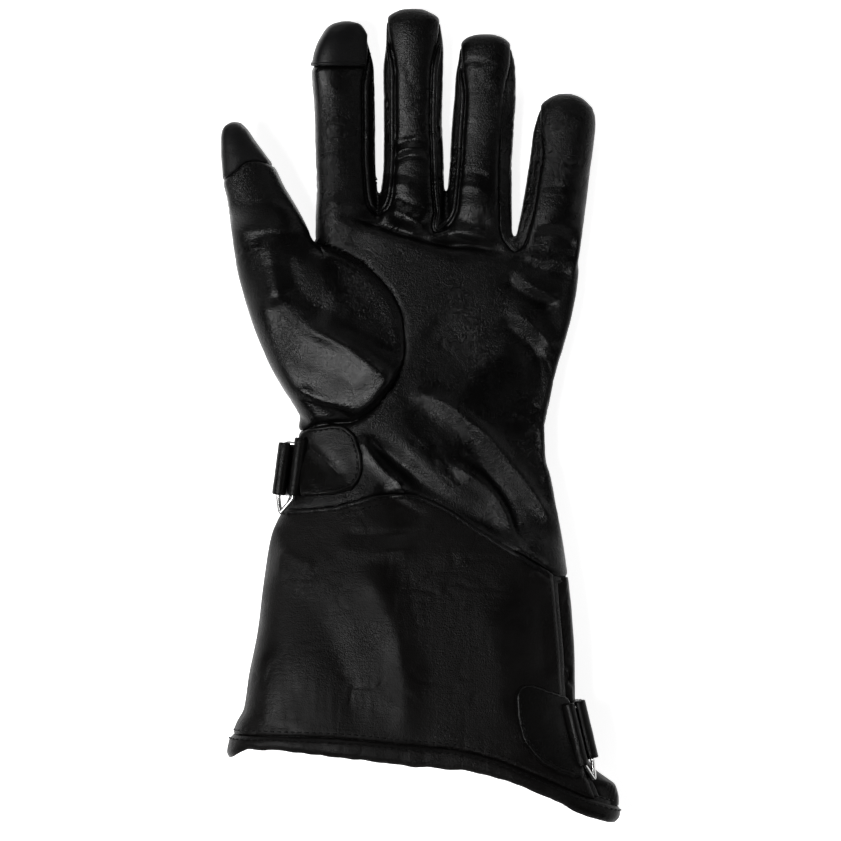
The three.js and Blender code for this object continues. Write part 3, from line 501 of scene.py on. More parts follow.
# ---------------------------------------------------------------- sculpting
# folds on the palm side: plan line in the frame's pixels, width and height in mm
RIDGES = [
    (line((352, 429), (387, 453), (424, 483), (456, 505), (497, 524), (530, 548)), 4.4, -3.0),
    (line((404, 397), (423, 396), (446, 404), (466, 419), (491, 440), (510, 463), (530, 489), (546, 515), (558, 542)), 3.8, 3.0),
    (line((461, 446), (486, 468), (505, 493), (518, 518), (528, 548)), 2.6, -2.4),
    (line((450, 463), (465, 472), (490, 489), (504, 511), (515, 535), (524, 560)), 2.6, 2.2),
    (line((358, 434), (372, 452), (387, 470), (402, 486), (404, 500)), 3.0, 2.2),
    (line((376, 484), (396, 500), (430, 520)), 3.0, -1.2),
    (line((262, 234), (270, 256), (276, 280), (284, 308)), 5.8, 1.9),
    (line((276, 294), (291, 316), (313, 331), (340, 344), (368, 355)), 2.6, 0.9),
    (line((286, 252), (294, 280), (312, 304), (334, 318)), 5.0, -1.6),
    (line((292, 356), (322, 366), (350, 380), (366, 392)), 3.6, -0.5),
    (line((294, 384), (313, 396), (332, 403), (352, 409), (366, 413)), 2.0, 0.7),
    (line((298, 396), (316, 405), (340, 412), (358, 418)), 2.2, -0.6),
    (line((310, 416), (330, 417), (350, 418)), 1.3, 0.5),
    (line((330, 214), (356, 217), (378, 221), (406, 232), (438, 241), (478, 246), (516, 254)), 2.5, -3.3),
    (line((326, 203), (346, 205), (372, 208)), 2.6, 1.0),
    (line((390, 208), (408, 217), (428, 226)), 2.8, 1.3),
    (line((448, 230), (476, 235), (500, 240)), 2.8, 1.3),
    (line((396, 196), (410, 204), (426, 208)), 1.6, -0.6),
    (line((454, 214), (472, 222), (494, 222)), 1.6, -0.6),
    (line((505, 271), (514, 286), (534, 298), (560, 308)), 2.4, -1.9),
    (line((516, 274), (536, 288), (562, 298)), 2.0, 1.3),
    (line((524, 262), (548, 270), (574, 274)), 1.5, -0.8),
    (line((520, 254), (546, 260), (576, 262)), 2.0, 0.7),
    (line((506, 309), (526, 320), (544, 336), (556, 356)), 3.2, 1.9),
    (line((500, 318), (516, 332), (532, 348), (542, 364)), 2.6, -1.4),
    (line((512, 413), (526, 416), (544, 412)), 1.4, 0.5),
    (line((510, 419), (528, 423), (546, 420)), 1.3, -0.5),
    (line((395, 160), (400, 151), (410, 148.5), (424, 150), (431, 158)), 1.3, 1.1),
    (line((393, 164), (400, 158), (412, 155), (424, 157), (430, 166)), 1.2, -0.8),
    (line((393, 146), (404, 141), (416, 139), (432, 145)), 1.3, -0.8),
    (line((392, 176), (402, 174), (414, 178)), 1.5, -0.4),
    (line((388, 190), (400, 184), (414, 186)), 1.5, 0.6),
    (line((452, 176), (472, 172), (492, 178)), 1.3, -0.4),
    (line((452, 192), (468, 186), (486, 190)), 1.3, 0.5),
    (line((536, 190), (556, 186), (580, 192)), 1.3, -0.4),
    (line((532, 226), (552, 222), (582, 230)), 2.0, 0.7),
    (line((530, 238), (552, 236), (580, 246)), 1.7, -0.7),
    (line((320, 120), (340, 117), (362, 121)), 1.3, -0.3),
    (line((318, 160), (340, 156), (352, 160)), 1.8, 0.5),
    (line((352, 556), (378, 590), (398, 640), (405, 700), (404, 746)), 7.5, 2.0),
    (line((288, 574), (322, 620), (350, 680), (362, 740)), 9.0, -1.3),
    (line((262, 640), (268, 690), (266, 730)), 7.0, 0.7),
    (line((282, 548), (300, 560), (318, 566)), 2.2, 0.7),
    (line((286, 580), (306, 584), (322, 578)), 1.5, 0.5),
    (line((330, 545), (372, 552), (420, 548)), 3.5, 0.9),
    (line((340, 532), (380, 534), (430, 530)), 2.0, -0.7),
    (line((480, 600), (500, 660), (506, 730)), 7.0, 0.9),
    (line((540, 590), (544, 640), (546, 680)), 5.0, -1.1),
    (line((546, 420), (552, 452), (560, 480)), 3.4, 1.2),
    (line((536, 430), (540, 455), (548, 476)), 2.6, -1.0),
    (line((420, 330), (450, 350), (480, 380)), 12.0, -1.6),
    (line((500, 330), (520, 370), (528, 410)), 10.0, 1.2),
    (line((276, 520), (284, 548), (282, 580)), 3.0, 0.9),
    (line((512, 546), (530, 556), (548, 566)), 1.3, 0.9),
    (line((518, 556), (534, 566), (550, 575)), 1.2, -0.8),
    (line((530, 570), (542, 578), (552, 584)), 1.3, 0.7),
]
# the same on the back
BACK_RIDGES = [
    (line((330, 236), (370, 226), (420, 234)), 5.0, 1.5),
    (line((420, 240), (470, 244), (520, 262)), 5.0, 1.5),
    (line((340, 300), (360, 360), (380, 420)), 6.0, 0.9),
    (line((410, 300), (420, 360), (430, 420)), 6.0, 0.8),
    (line((470, 310), (476, 360), (480, 420)), 6.0, 0.8),
    (line((300, 440), (380, 452), (460, 446), (530, 456)), 3.0, 1.2),
    (line((300, 456), (380, 468), (460, 464), (530, 474)), 2.6, -1.0),
    (line((320, 470), (400, 486), (500, 490)), 3.0, 0.8),
    (line((318, 130), (340, 128), (362, 131)), 2.0, 0.7),
    (line((390, 120), (412, 118), (438, 121)), 2.0, 0.7),
    (line((462, 140), (484, 138), (508, 141)), 2.0, 0.7),
    (line((540, 180), (560, 178), (584, 181)), 2.0, 0.7),
    (line((340, 560), (350, 640), (346, 720)), 8.0, 1.2),
    (line((440, 560), (452, 640), (450, 720)), 8.0, -1.0),
]


def folds(table, s, facing):
    x, y = s.v[:, 0], s.v[:, 1]
    d = np.zeros(len(x))
    for ln, width, height in table:
        smooth_line = densify(ln, 2.5)
        lo, hi = smooth_line.min(0) - 3 * width, smooth_line.max(0) + 3 * width
        m = (facing > 0) & (x > lo[0]) & (x < hi[0]) & (y > lo[1]) & (y < hi[1])
        dist, t, _ = near(smooth_line, x[m], y[m])
        end = smooth(0.0, 0.2, t) * smooth(0.0, 0.2, 1 - t)
        # a fold wavers a little in height along its length
        far = t * np.linalg.norm(np.diff(smooth_line, axis=0), axis=1).sum() / width
        waver = 1 + 0.2 * np.sin(far / 1.7 + height * 9) + 0.07 * np.sin(far / 0.8 + width * 5)
        d[m] += height * np.exp(-np.abs(dist / width) ** 1.7) * end * waver
    return d * facing


STEP = 0.8
GX, GY = np.arange(-92, 92, STEP), np.arange(-186, 182, STEP)


def spread(test, at):
    """A plan field worked out on a fine grid and read off at the vertices."""
    gx, gy = np.meshgrid(GX, GY)
    g = test(gx.ravel(), gy.ravel()).reshape(gx.shape)
    u, w = (at[:, 0] - GX[0]) / STEP, (at[:, 1] - GY[0]) / STEP
    i, j = np.clip(u.astype(int), 0, len(GX) - 2), np.clip(w.astype(int), 0, len(GY) - 2)
    u, w = u - i, w - j
    return (g[j, i] * (1 - u) + g[j, i + 1] * u) * (1 - w) + (g[j + 1, i] * (1 - u) + g[j + 1, i + 1] * u) * w


WEB = [(-56, 150), (-51.6, 101)]


BALL = line((280, 308), (300, 318), (325, 329), (350, 342), (368, 353), (386, 366), (396, 380), (392, 396), (380, 408), (364, 416), (345, 408), (330, 402), (310, 396), (297, 384), (289, 362), (281, 336))


SPAN = line((322, 236), (350, 240), (388, 262), (412, 296), (418, 335), (416, 364), (388, 362), (364, 345), (345, 333), (325, 320), (312, 300), (312, 268))


def mound(x, y, at, radius, height, stretch=1.0, turn=0.0):
    """A soft round rise, or a hollow, round a place in the frame's pixels."""
    cx, cy = P(*at)
    a = math.radians(turn)
    u, w = (x - cx) * math.cos(a) + (y - cy) * math.sin(a), -(x - cx) * math.sin(a) + (y - cy) * math.cos(a)
    return height * np.exp(-((u / (radius * stretch)) ** 2) - (w / radius) ** 2)


def sculpt(s):
    n = s.normals()
    x, y, z = s.v.T
    # the ball of the thumb runs on into the palm without a step
    blend = np.clip(1.6 * np.exp(-(((x - P(372, 0)[0]) / 15.0) ** 2) - ((y - P(0, 350)[1]) / 27.0) ** 2) - 0.25, 0, 1) * smooth(0.0, 0.3, n[:, 2])
    s.relax(110, 0.5, weight=blend)
    n = s.normals()
    x, y, z = s.v.T
    top = smooth(0.05, 0.45, n[:, 2])
    ball = smooth(0.0, 3.6, spread(lambda u, w: -left_of(WEB + THUMB_SEAM, u, w), s.v))
    flat = smooth(-8.0, 4.0, spread(lambda u, w: inside_of(BALL, u, w), s.v)) * ball * top
    level = 34.6 + 0.215 * (x - P(335, 0)[0]) + 0.06 * (y - P(0, 370)[1])
    s.v[:, 2] += flat * (level - z)
    x, y, z = s.v.T
    span = smooth(-6.0, 6.0, spread(lambda u, w: inside_of(SPAN, u, w), s.v)) * ball * top * (1 - flat)
    s.v[:, 2] += 0.85 * span * (27.4 - 0.12 * (x - P(402, 0)[0]) - 0.045 * (y - P(0, 340)[1]) - z)
    hand = smooth(-62, -36, y) * smooth(92, 70, y) * (1 - ball) * top
    s.v[:, 2] -= hand * 0.09 * np.clip(x + 26, 0, 78) * smooth(2.0, 12.0, z - middle(y))
    # the index finger is turned a little towards the others, and the cuff is flatter on the thumb's side
    index = smooth(78, 92, y) * smooth(-17.0, -19.0, x) * top
    s.v[:, 2] -= index * 0.24 * (x + 33.0) * smooth(0.5, 5.0, z - middle(y))
    left = smooth(-48, -66, y) * top
    s.v[:, 2] += left * 0.055 * np.clip(-14 - x, 0, 46) * smooth(2.0, 12.0, z - middle(y))
    s.relax(3, 0.4, weight=top)
    n = s.normals()
    x, y, z = s.v.T
    top, under = smooth(0.05, 0.45, n[:, 2]), smooth(0.1, 0.5, -n[:, 2])
    d = folds(RIDGES, s, top) + 0.8 * folds(BACK_RIDGES, s, under)
    # the ball of the thumb swells against its seam; the palm is hollow beside it
    ball = smooth(0.0, 4.0, spread(lambda u, w: -left_of(WEB + THUMB_SEAM, u, w), s.v))
    d += top * ball * (mound(x, y, (384, 388), 7.0, 1.2, 1.5, 50) + mound(x, y, (272, 300), 8.0, 1.0))
    d += top * (1 - ball) * mound(x, y, (356, 250), 8.0, -1.2)
    d += top * (mound(x, y, (530, 300), 14.0, 1.6) + mound(x, y, (420, 405), 9.0, -1.0))
    # soft unevenness everywhere, and cross wrinkles on the fingers
    d += 0.36 * noise(s.v / 24.0 + 3.1) + 0.07 * noise(s.v / 9.0 + 7.7)
    finger = smooth(66, 84, y) * (1 - smooth(150, 160, y))
    thumb = smooth(-46, -52, x) * smooth(36, 56, y)
    wr = noise(s.v / (8.0, 1.7, 8.0) + 1.3) * noise(s.v / 14.0 + 9.0).clip(-0.25, 1) * 2.0
    d += 0.42 * wr * np.maximum(finger, 0.5 * thumb)
    wr2 = noise(s.v / (2.4, 12.0, 6.0) + 5.3)
    d += 0.22 * wr2 * smooth(-50, -70, y) * smooth(-0.1, 0.3, noise(s.v / 30.0))
    def crinkle(p, width):
        return (width - np.abs(noise(p))).clip(0) / width

    turned = np.stack([x + 0.7 * y, y - 0.7 * x, z], 1)
    where = smooth(0.02, 0.25, noise(s.v / 23.0 + 6.6))
    web = np.exp(-(((x - P(352, 0)[0]) / 11.0) ** 2) - ((y - P(0, 268)[1]) / 15.0) ** 2)
    hand = smooth(84, 60, y) * smooth(-46, -30, y) * (1 - ball * top) * (1 - web)
    d -= 0.22 * crinkle(turned / (5.5, 15.0, 9.0) + 1.7, 0.16) * where * hand
    d -= 0.30 * crinkle(s.v / (13.0, 4.2, 9.0) + 8.1, 0.14) * np.maximum(finger, 0.6 * thumb) * smooth(-0.05, 0.2, noise(s.v / 12.0 + 2.6))
    d -= 0.26 * crinkle(s.v / (12.0, 8.0, 10.0) + 5.9, 0.12) * smooth(-36, -50, y) * smooth(0.0, 0.22, noise(s.v / 19.0 + 0.6))
    slack = noise(np.stack([x + 0.8 * y, y - 0.8 * x, z], 1) / (4.2, 16.0, 12.0) + 2.2)
    d += 0.18 * (1 - ball * top) * (1 - web) * slack * smooth(60, 30, y) * smooth(-70, -40, y) * smooth(0.0, 0.3, noise(s.v / 26.0 + 4.0) + 0.15)
    s.v = s.v + n * (d * smooth(0.0, 2.2, z))[:, None]


sculpt(skin)
skin.relax(1, 0.35)
skin.v[:, 2] = np.maximum(skin.v[:, 2], 0.02)
tick("sculpt")

# ---------------------------------------------------------------- the seams as numbers at the vertices
X, Y, Z = skin.v.T
ABOVE = Z - (middle(Y) - 5.8)  # over the side seam
def finger_edges(name, y):
    rows = FINGERS[name]
    return np.interp(y, [r[0] for r in rows][::-1], [r[1] for r in rows][::-1]), np.interp(y, [r[0] for r in rows][::-1], [r[2] for r in rows][::-1])


def fourchette_outline(spec, inset=4.4):
    a, b = spec["between"]
    bx, by = spec["bottom"]
    ya = np.linspace(by + 9, spec["tops"][0], 24)
    yb = np.linspace(by + 9, spec["tops"][1], 24)
    ins = lambda y, top: inset * smooth(top + 3, top - 22, y) + 0.5
    la = [(finger_edges(a, q)[1] - ins(q, spec["tops"][0]), q) for q in ya]
    lb = [(finger_edges(b, q)[0] + ins(q, spec["tops"][1]), q) for q in yb]
    bowl = []
    for k in np.linspace(0, 1, 11)[1:-1]:
        ang = math.pi * (1 + k)
        wide = (lb[0][0] - la[0][0]) / 2
        cx = (lb[0][0] + la[0][0]) / 2
        bowl.append((cx * (1 - math.sin(math.pi * k)) + bx * math.sin(math.pi * k) + wide * math.cos(ang) * (1 - 0.25 * math.sin(math.pi * k)), la[0][1] - 9 * math.sin(math.pi * k) ** 0.8))
    la.reverse()
    return la + bowl + lb + [(lb[-1][0], max(spec["tops"]) + 6), (la[0][0], max(spec["tops"]) + 6)]


thumb_top = spread(lambda x, y: -left_of(WEB + THUMB_SEAM, x, y), skin.v)
thumb_back = spread(lambda x, y: -left_of(WEB + THUMB_BACK_SEAM, x, y), skin.v)
T = {
    "thumb": np.where(ABOVE > 0, thumb_top, thumb_back),
    "cuff": spread(lambda x, y: -left_of(CUFF_SEAM, x, y), skin.v),
    "hem_top": spread(lambda x, y: left_of(HEM_TOP, x, y), skin.v),
    "hem_edge": spread(lambda x, y: left_of(HEM_EDGE, x, y), skin.v) - 1.0 + 0.9 * noise(np.stack([X / 7.0, Z / 7.0, 0 * X], 1)),
    "gusset": spread(lambda x, y: left_of(GUSSET_EDGE, x, y), skin.v),
    "above": ABOVE,
    "thumb_tip": spread(lambda x, y: left_of(THUMB_TIP_SEAM, x, y), skin.v),
    "index_tip": np.minimum(Y - INDEX_TIP_Y - 0.0016 * (X + 33) ** 2, -18.2 - X),
    "wrist_d": spread(lambda x, y: inside_of(WRIST_TAB, x, y), skin.v) + 1.3,
    "cuff_d": spread(lambda x, y: inside_of(CUFF_TAB, x, y), skin.v) + 1.9,
}
for name, spec in FOURCHETTES.items():
    T[name] = spread(lambda x, y: inside_of(fourchette_outline(spec), x, y), skin.v)
T["fourchettes"] = np.maximum.reduce([T[n] for n in FOURCHETTES])
FAR = 99.0
T["seams"] = 2.5 - np.minimum.reduce([
    np.abs(T["hem_top"]), np.abs(T["cuff"]), np.abs(T["fourchettes"]), np.where(T["thumb"] < 6, np.abs(T["thumb"]), FAR),
    np.where(T["thumb"] < 2, np.abs(ABOVE), FAR), np.where((T["cuff"] > -3) & (ABOVE > -3), np.abs(T["gusset"]), FAR),
    np.where(T["thumb"] > 0, np.abs(T["thumb_tip"]), FAR), np.where((ABOVE > -3) & (X < -16), np.abs(T["index_tip"]), FAR)])
T["inside"] = T["hem_edge"] - 2.4
skin.data = T
GAP = 0.07
tick("fields")


def region(*tests, start=None, small=0.03):
    s = start or skin
    for name, sign in tests:
        s = s.clip(s.data[name] * sign - GAP)
    return s.keep_big(small)


def from_border(s, reach=4.0):
    """How far each vertex is from the border, up to reach."""
    b = s.border()
    rim = np.unique(b.ravel())
    tree = KDTree(len(rim))
    for k, i in enumerate(rim):
        tree.insert(s.v[i], k)
    tree.balance()
    dist = np.full(len(s.v), 99.0)
    # only vertices near the border are looked up
    e = s.edges()
    hot = np.zeros(len(s.v), bool)
    hot[rim] = True
    for _ in range(int(reach / 0.6) + 1):
        grow = hot[e[:, 0]] | hot[e[:, 1]]
        hot[e[grow].ravel()] = True
    for i in np.nonzero(hot)[0]:
        dist[i] = tree.find(s.v[i])[2]
    return b, dist


def shell(s, thick=1.3, edge=1.7, dip=0.75, raise_by=0.0, extra=None, round_in=0.6):
    """A closed sheet: its outside on s, its rim rounded over."""
    n = s.normals()
    b, dist = from_border(s)
    w = np.clip(1 - dist / edge, 0, 1)
    off = raise_by - dip * w**2
    if extra is not None:
        off = off + extra
    outer = s.v + n * off[:, None]
    deep = raise_by - thick + min(dip, thick * 0.45) * w**2 * round_in
    inner = s.v + n * np.minimum(deep, off - 0.25)[:, None]
    outer[:, 2] = np.maximum(outer[:, 2], 0.02)
    inner[:, 2] = np.maximum(inner[:, 2], 0.5)
    k = len(s.v)
    faces = [s.f, s.f[:, ::-1] + k, np.stack([b[:, 1], b[:, 0], b[:, 0] + k], 1), np.stack([b[:, 1], b[:, 0] + k, b[:, 1] + k], 1)]
    return np.vstack([outer, inner]), np.concatenate(faces)


# ---------------------------------------------------------------- cords of leather and stitches
def cord(run, wide, high, sink=0.15, sides=10, taper=3.0):
    """A raised ridge of leather along a run of (x, y, z, nx, ny, nz): half width and half height in mm."""
    p, n = run[:, :3], run[:, 3:]
    t = np.gradient(p, axis=0)
    t /= np.maximum(np.linalg.norm(t, axis=1), 1e-9)[:, None]
    side = np.cross(t, n)
    side /= np.maximum(np.linalg.norm(side, axis=1), 1e-9)[:, None]
    up = np.cross(side, t)
    s = np.concatenate([[0], np.cumsum(np.linalg.norm(np.diff(p, axis=0), axis=1))])
    size = np.sqrt(np.clip(np.minimum(s, s[-1] - s) / taper, 0.02, 1))[:, None]
    p = p + n * (size - 1) * high
    a = np.linspace(0, 2 * np.pi, sides, endpoint=False)
    rings = [p + (side * math.cos(q) * wide + up * (math.sin(q) * high - sink)) * size for q in a]
    v = np.stack(rings, 1).reshape(-1, 3)
    f = []
    for i in range(len(p) - 1):
        for j in range(sides):
            u, w = i * sides + j, i * sides + (j + 1) % sides
            f.append((u, w, w + sides, u + sides))
    f.append(tuple(range(sides - 1, -1, -1)))
    f.append(tuple(range((len(p) - 1) * sides, len(p) * sides)))
    return v, f


def stitches(run, length=2.1, pitch=3.0, r=0.30, lift=0.08):
    """A row of stitches, each a small capsule lying on the surface."""
    s = np.concatenate([[0], np.cumsum(np.linalg.norm(np.diff(run[:, :3], axis=0), axis=1))])
    parts = []
    for c in np.arange(pitch / 2, s[-1] - pitch / 2, pitch):
        q = np.stack([np.interp(c + k * length / 2, s, run[:, a]) for a in range(6) for k in (-1, -0.8, -0.4, 0.4, 0.8, 1)]).reshape(6, 6).T
        p, n = q[:, :3], q[:, 3:]
        t = p[-1] - p[0]
        t /= np.linalg.norm(t)
        side = np.cross(t, n)
        size = np.array([0.15, 0.72, 1, 1, 0.72, 0.15])
        drop = np.array([-0.3, -0.08, 0, 0, -0.08, -0.3])
        a = np.linspace(0, 2 * np.pi, 6, endpoint=False)
        ring = np.stack([p + n * (lift + drop)[:, None] + (side * math.cos(b) + n * math.sin(b)) * (r * size)[:, None] for b in a], 1)
        f = [(i * 6 + j, i * 6 + (j + 1) % 6, (i + 1) * 6 + (j + 1) % 6, (i + 1) * 6 + j) for i in range(5) for j in range(6)]
        f += [tuple(range(5, -1, -1)), tuple(range(30, 36))]
        parts.append((ring.reshape(-1, 3), f))
    return parts


def runs_of(s, name, level, lift=0.0, step=0.8, least=12.0, keep=None):
    """Even runs where the field name is level on the surface s."""
    out = []
    for r in s.contour(s.data[name], level):
        if keep is not None:
            m = keep(r)
            if not m.any():
                continue
            # the longest stretch that is kept
            edges = np.flatnonzero(np.diff(np.concatenate([[0], m.astype(int), [0]])))
            spans = edges.reshape(-1, 2)
            a, b = spans[np.argmax(spans[:, 1] - spans[:, 0])]
            r = r[a:b]
        if len(r) < 6 or np.linalg.norm(np.diff(r[:, :3], axis=0), axis=1).sum() < least:
            continue
        r = even(r, step)
        r[:, :3] += r[:, 3:] * lift
        out.append(r)
    return out


# ---------------------------------------------------------------- materials
def leather(name, base, rough, grain=1.0, pebble=1300.0, specular=0.3, wrinkle=0.5):
    m = bpy.data.materials.new(name)
    m.use_nodes = True
    t = m.node_tree
    N, L = t.nodes, t.links
    p = N["Principled BSDF"]
    where = N.new("ShaderNodeTexCoord").outputs["Object"]

    def tex(kind, scale, stretch=None, **kw):
        n = N.new(kind)
        n.inputs["Scale"].default_value = scale
        for k, q in kw.items():
            if k in n.inputs:
                n.inputs[k].default_value = q
            else:
                setattr(n, k, q)
        if stretch:
            mp = N.new("ShaderNodeMapping")
            mp.inputs["Scale"].default_value = stretch
            L.new(where, mp.inputs["Vector"])
            L.new(mp.outputs[0], n.inputs["Vector"])
        else:
            L.new(where, n.inputs["Vector"])
        return n

    def math_node(kind, a, b, c=None):
        n = N.new("ShaderNodeMath")
        n.operation = kind
        for k, q in enumerate((a, b, c)):
            if q is None:
                continue
            if isinstance(q, float):
                n.inputs[k].default_value = q
            else:
                L.new(q, n.inputs[k])
        return n.outputs[0]

    def soft(socket, lo, hi, out_lo=0.0, out_hi=1.0):
        r = N.new("ShaderNodeMapRange")
        r.interpolation_type = "SMOOTHSTEP"
        r.inputs["From Min"].default_value, r.inputs["From Max"].default_value = lo, hi
        r.inputs["To Min"].default_value, r.inputs["To Max"].default_value = out_lo, out_hi
        L.new(socket, r.inputs["Value"])
        return r.outputs[0]

    cloud = tex("ShaderNodeTexNoise", 38.0, Detail=4.0, Roughness=0.6)
    patch = tex("ShaderNodeTexNoise", 60.0, Detail=3.0)
    fine = tex("ShaderNodeTexNoise", 1700.0, Detail=2.0, Roughness=0.6)
    cells = tex("ShaderNodeTexVoronoi", pebble, feature="DISTANCE_TO_EDGE")
    cells2 = tex("ShaderNodeTexVoronoi", pebble * 0.5, feature="DISTANCE_TO_EDGE")
    cross = tex("ShaderNodeTexNoise", 1.0, (170.0, 760.0, 240.0), Detail=3.0, Roughness=0.6, Distortion=0.6)
    long = tex("ShaderNodeTexNoise", 1.0, (620.0, 150.0, 300.0), Detail=2.0, Distortion=0.8)
    where_worn = tex("ShaderNodeTexNoise", 26.0, Detail=1.0)
    ramp = N.new("ShaderNodeValToRGB")
    ramp.color_ramp.elements[0].position, ramp.color_ramp.elements[1].position = 0.3, 0.75
    ramp.color_ramp.elements[0].color = (*[c * 0.7 for c in base], 1)
    ramp.color_ramp.elements[1].color = (*[c * 1.4 for c in base], 1)
    L.new(cloud.outputs[0], ramp.inputs[0])
    L.new(ramp.outputs[0], p.inputs["Base Color"])
    L.new(soft(patch.outputs[0], 0.3, 0.7, rough - 0.07, rough + 0.09), p.inputs["Roughness"])
    p.inputs["Specular IOR Level"].default_value = specular
    worn = soft(where_worn.outputs[0], 0.4, 0.62, 0.45, 1.0)
    pebbles = math_node("MULTIPLY_ADD", soft(cells.outputs["Distance"], -0.2, 0.5), 0.9, fine.outputs[0])
    pebbles = math_node("MULTIPLY_ADD", soft(cells2.outputs["Distance"], -0.2, 0.55), 0.7, pebbles)
    pebbles = math_node("MULTIPLY", pebbles, worn)
    creased = math_node("MULTIPLY_ADD", soft(long.outputs[0], 0.4, 0.6), 0.5, soft(cross.outputs[0], 0.38, 0.62))
    b1 = N.new("ShaderNodeBump")
    b1.inputs["Strength"].default_value = 0.5 * grain
    b1.inputs["Distance"].default_value = 0.00017
    L.new(pebbles, b1.inputs["Height"])
    b2 = N.new("ShaderNodeBump")
    b2.inputs["Strength"].default_value = wrinkle
    b2.inputs["Distance"].default_value = 0.00016
    L.new(math_node("MULTIPLY", creased, worn), b2.inputs["Height"])
    L.new(b1.outputs[0], b2.inputs["Normal"])
    L.new(b2.outputs[0], p.inputs["Normal"])
    return m


def plain(name, base, rough, metal=0.0, bump=0.0, scale=2000.0, specular=0.5):
    m = bpy.data.materials.new(name)
    m.use_nodes = True
    t = m.node_tree
    N, L = t.nodes, t.links
    p = N["Principled BSDF"]
    p.inputs["Metallic"].default_value = metal
    p.inputs["Specular IOR Level"].default_value = specular
    where = N.new("ShaderNodeTexCoord").outputs["Object"]
    n = N.new("ShaderNodeTexNoise")
    n.inputs["Scale"].default_value = scale
    n.inputs["Detail"].default_value = 3.0
    L.new(where, n.inputs["Vector"])
    ramp = N.new("ShaderNodeValToRGB")
    ramp.color_ramp.elements[0].color = (*[c * 0.85 for c in base], 1)
    ramp.color_ramp.elements[1].color = (*[min(1, c * 1.1) for c in base], 1)
    L.new(n.outputs[0], ramp.inputs[0])
    L.new(ramp.outputs[0], p.inputs["Base Color"])
    r = N.new("ShaderNodeMapRange")
    r.inputs["To Min"].default_value, r.inputs["To Max"].default_value = max(0.02, rough - 0.06), rough + 0.08
    L.new(n.outputs[0], r.inputs["Value"])
    L.new(r.outputs[0], p.inputs["Roughness"])
    if bump:
        b = N.new("ShaderNodeBump")
        b.inputs["Strength"].default_value = bump
        b.inputs["Distance"].default_value = 0.0001
        L.new(n.outputs[0], b.inputs["Height"])
        L.new(b.outputs[0], p.inputs["Normal"])
    return m


LEATHER = leather("grained_leather", (0.0012, 0.00115, 0.00115), 0.31, 1.5, specular=0.15, wrinkle=0.3)
CUFF_LEATHER = leather("cuff_leather", (0.0022, 0.0019, 0.0018), 0.42, 1.4, specular=0.095, wrinkle=0.3)
TOUCH = leather("touch_leather", (0.0042, 0.0042, 0.0044), 0.38, 0.9, 1900.0, specular=0.12, wrinkle=0.15)
TRIM = leather("trim_leather", (0.0020, 0.0019, 0.0018), 0.33, 0.9, 1500.0, specular=0.10, wrinkle=0.25)
THREAD = plain("thread", (0.0016, 0.0016, 0.0016), 0.5, bump=0.5, scale=4000.0, specular=0.10)
STEEL = plain("bright_wire", (0.44, 0.44, 0.435), 0.2, metal=1.0, scale=700.0)

# ---------------------------------------------------------------- leather panels
palm = region(("hem_top", 1), ("cuff", -1), ("above", 1), ("thumb", -1), ("fourchettes", -1), ("index_tip", -1))
back = region(("hem_top", 1), ("cuff", -1), ("above", -1), ("thumb", -1), ("fourchettes", -1))
whole_thumb = region(("thumb", 1))
thumb = region(("thumb_tip", -1), start=whole_thumb)
thumb_tip = region(("thumb_tip", 1), start=whole_thumb)
index_tip = region(("above", 1), ("index_tip", 1), ("fourchettes", -1))
cuff = region(("hem_top", 1), ("cuff", 1))
cuff_top = region(("above", 1), start=cuff)
cuff_palm = region(("gusset", -1), start=cuff_top)
cuff_gusset = region(("gusset", 1), start=cuff_top)
cuff_back = region(("above", -1), start=cuff)
hem = region(("hem_top", -1), ("hem_edge", 1))
sides = {n: region((n, 1)) for n in FOURCHETTES}
for n, s in (("palm", palm), ("back", back), ("thumb", thumb), ("thumb_tip", thumb_tip), ("index_tip", index_tip), ("cuff_palm", cuff_palm), ("gusset", cuff_gusset), ("cuff_back", cuff_back), ("hem", hem), *sides.items()):
    print(n, len(s.v), len(s.f))
tick("clipped")


def panel(node, s, material, slot, more=(), angle=62, **kw):
    v, f = join([shell(s, **kw), *more])
    o = object_of(node + "_leather", v, f, material, angle=angle)
    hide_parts(node)
    return o


panel("palm_panel", palm, LEATHER, "leather", raise_by=0.1, edge=2.2, dip=1.05)
panel("back_panel", back, LEATHER, "leather")
panel("thumb_panel", thumb, LEATHER, "leather", raise_by=0.15)
panel("thumb_tip", thumb_tip, TOUCH, "touch_leather", raise_by=0.3)
tip_welt = [cord(r, 0.75, 0.45, 0.0) for r in runs_of(index_tip, "index_tip", 0.9, 0.5, keep=lambda r: r[:, 0] < -20.5)]
panel("index_tip", index_tip, TOUCH, "touch_leather", more=tip_welt, raise_by=0.4, edge=1.2, dip=0.45)
panel("cuff_palm", cuff_palm, CUFF_LEATHER, "leather", raise_by=0.15, edge=2.0, dip=0.7)
flank = smooth(0.3, 0.8, cuff_gusset.normals()[:, 2])
panel("cuff_gusset", cuff_gusset, CUFF_LEATHER, "leather", extra=0.2 - 2.2 * flank - 1.5 * flank * np.exp(-(((cuff_gusset.data["gusset"] - 0.6) / 2.0) ** 2)), dip=0.1)
panel("cuff_back", cuff_back, CUFF_LEATHER, "leather")
def top_of(name, s):
    """1 at the very top of a fourchette, each side by its own finger."""
    spec = FOURCHETTES[name]
    cx = spec["bottom"][0] + 0.06 * (s.v[:, 1] - spec["bottom"][1])
    top = np.where(s.v[:, 0] < cx, spec["tops"][0], spec["tops"][1])
    return smooth(-12.0, 0.0, s.v[:, 1] - top)


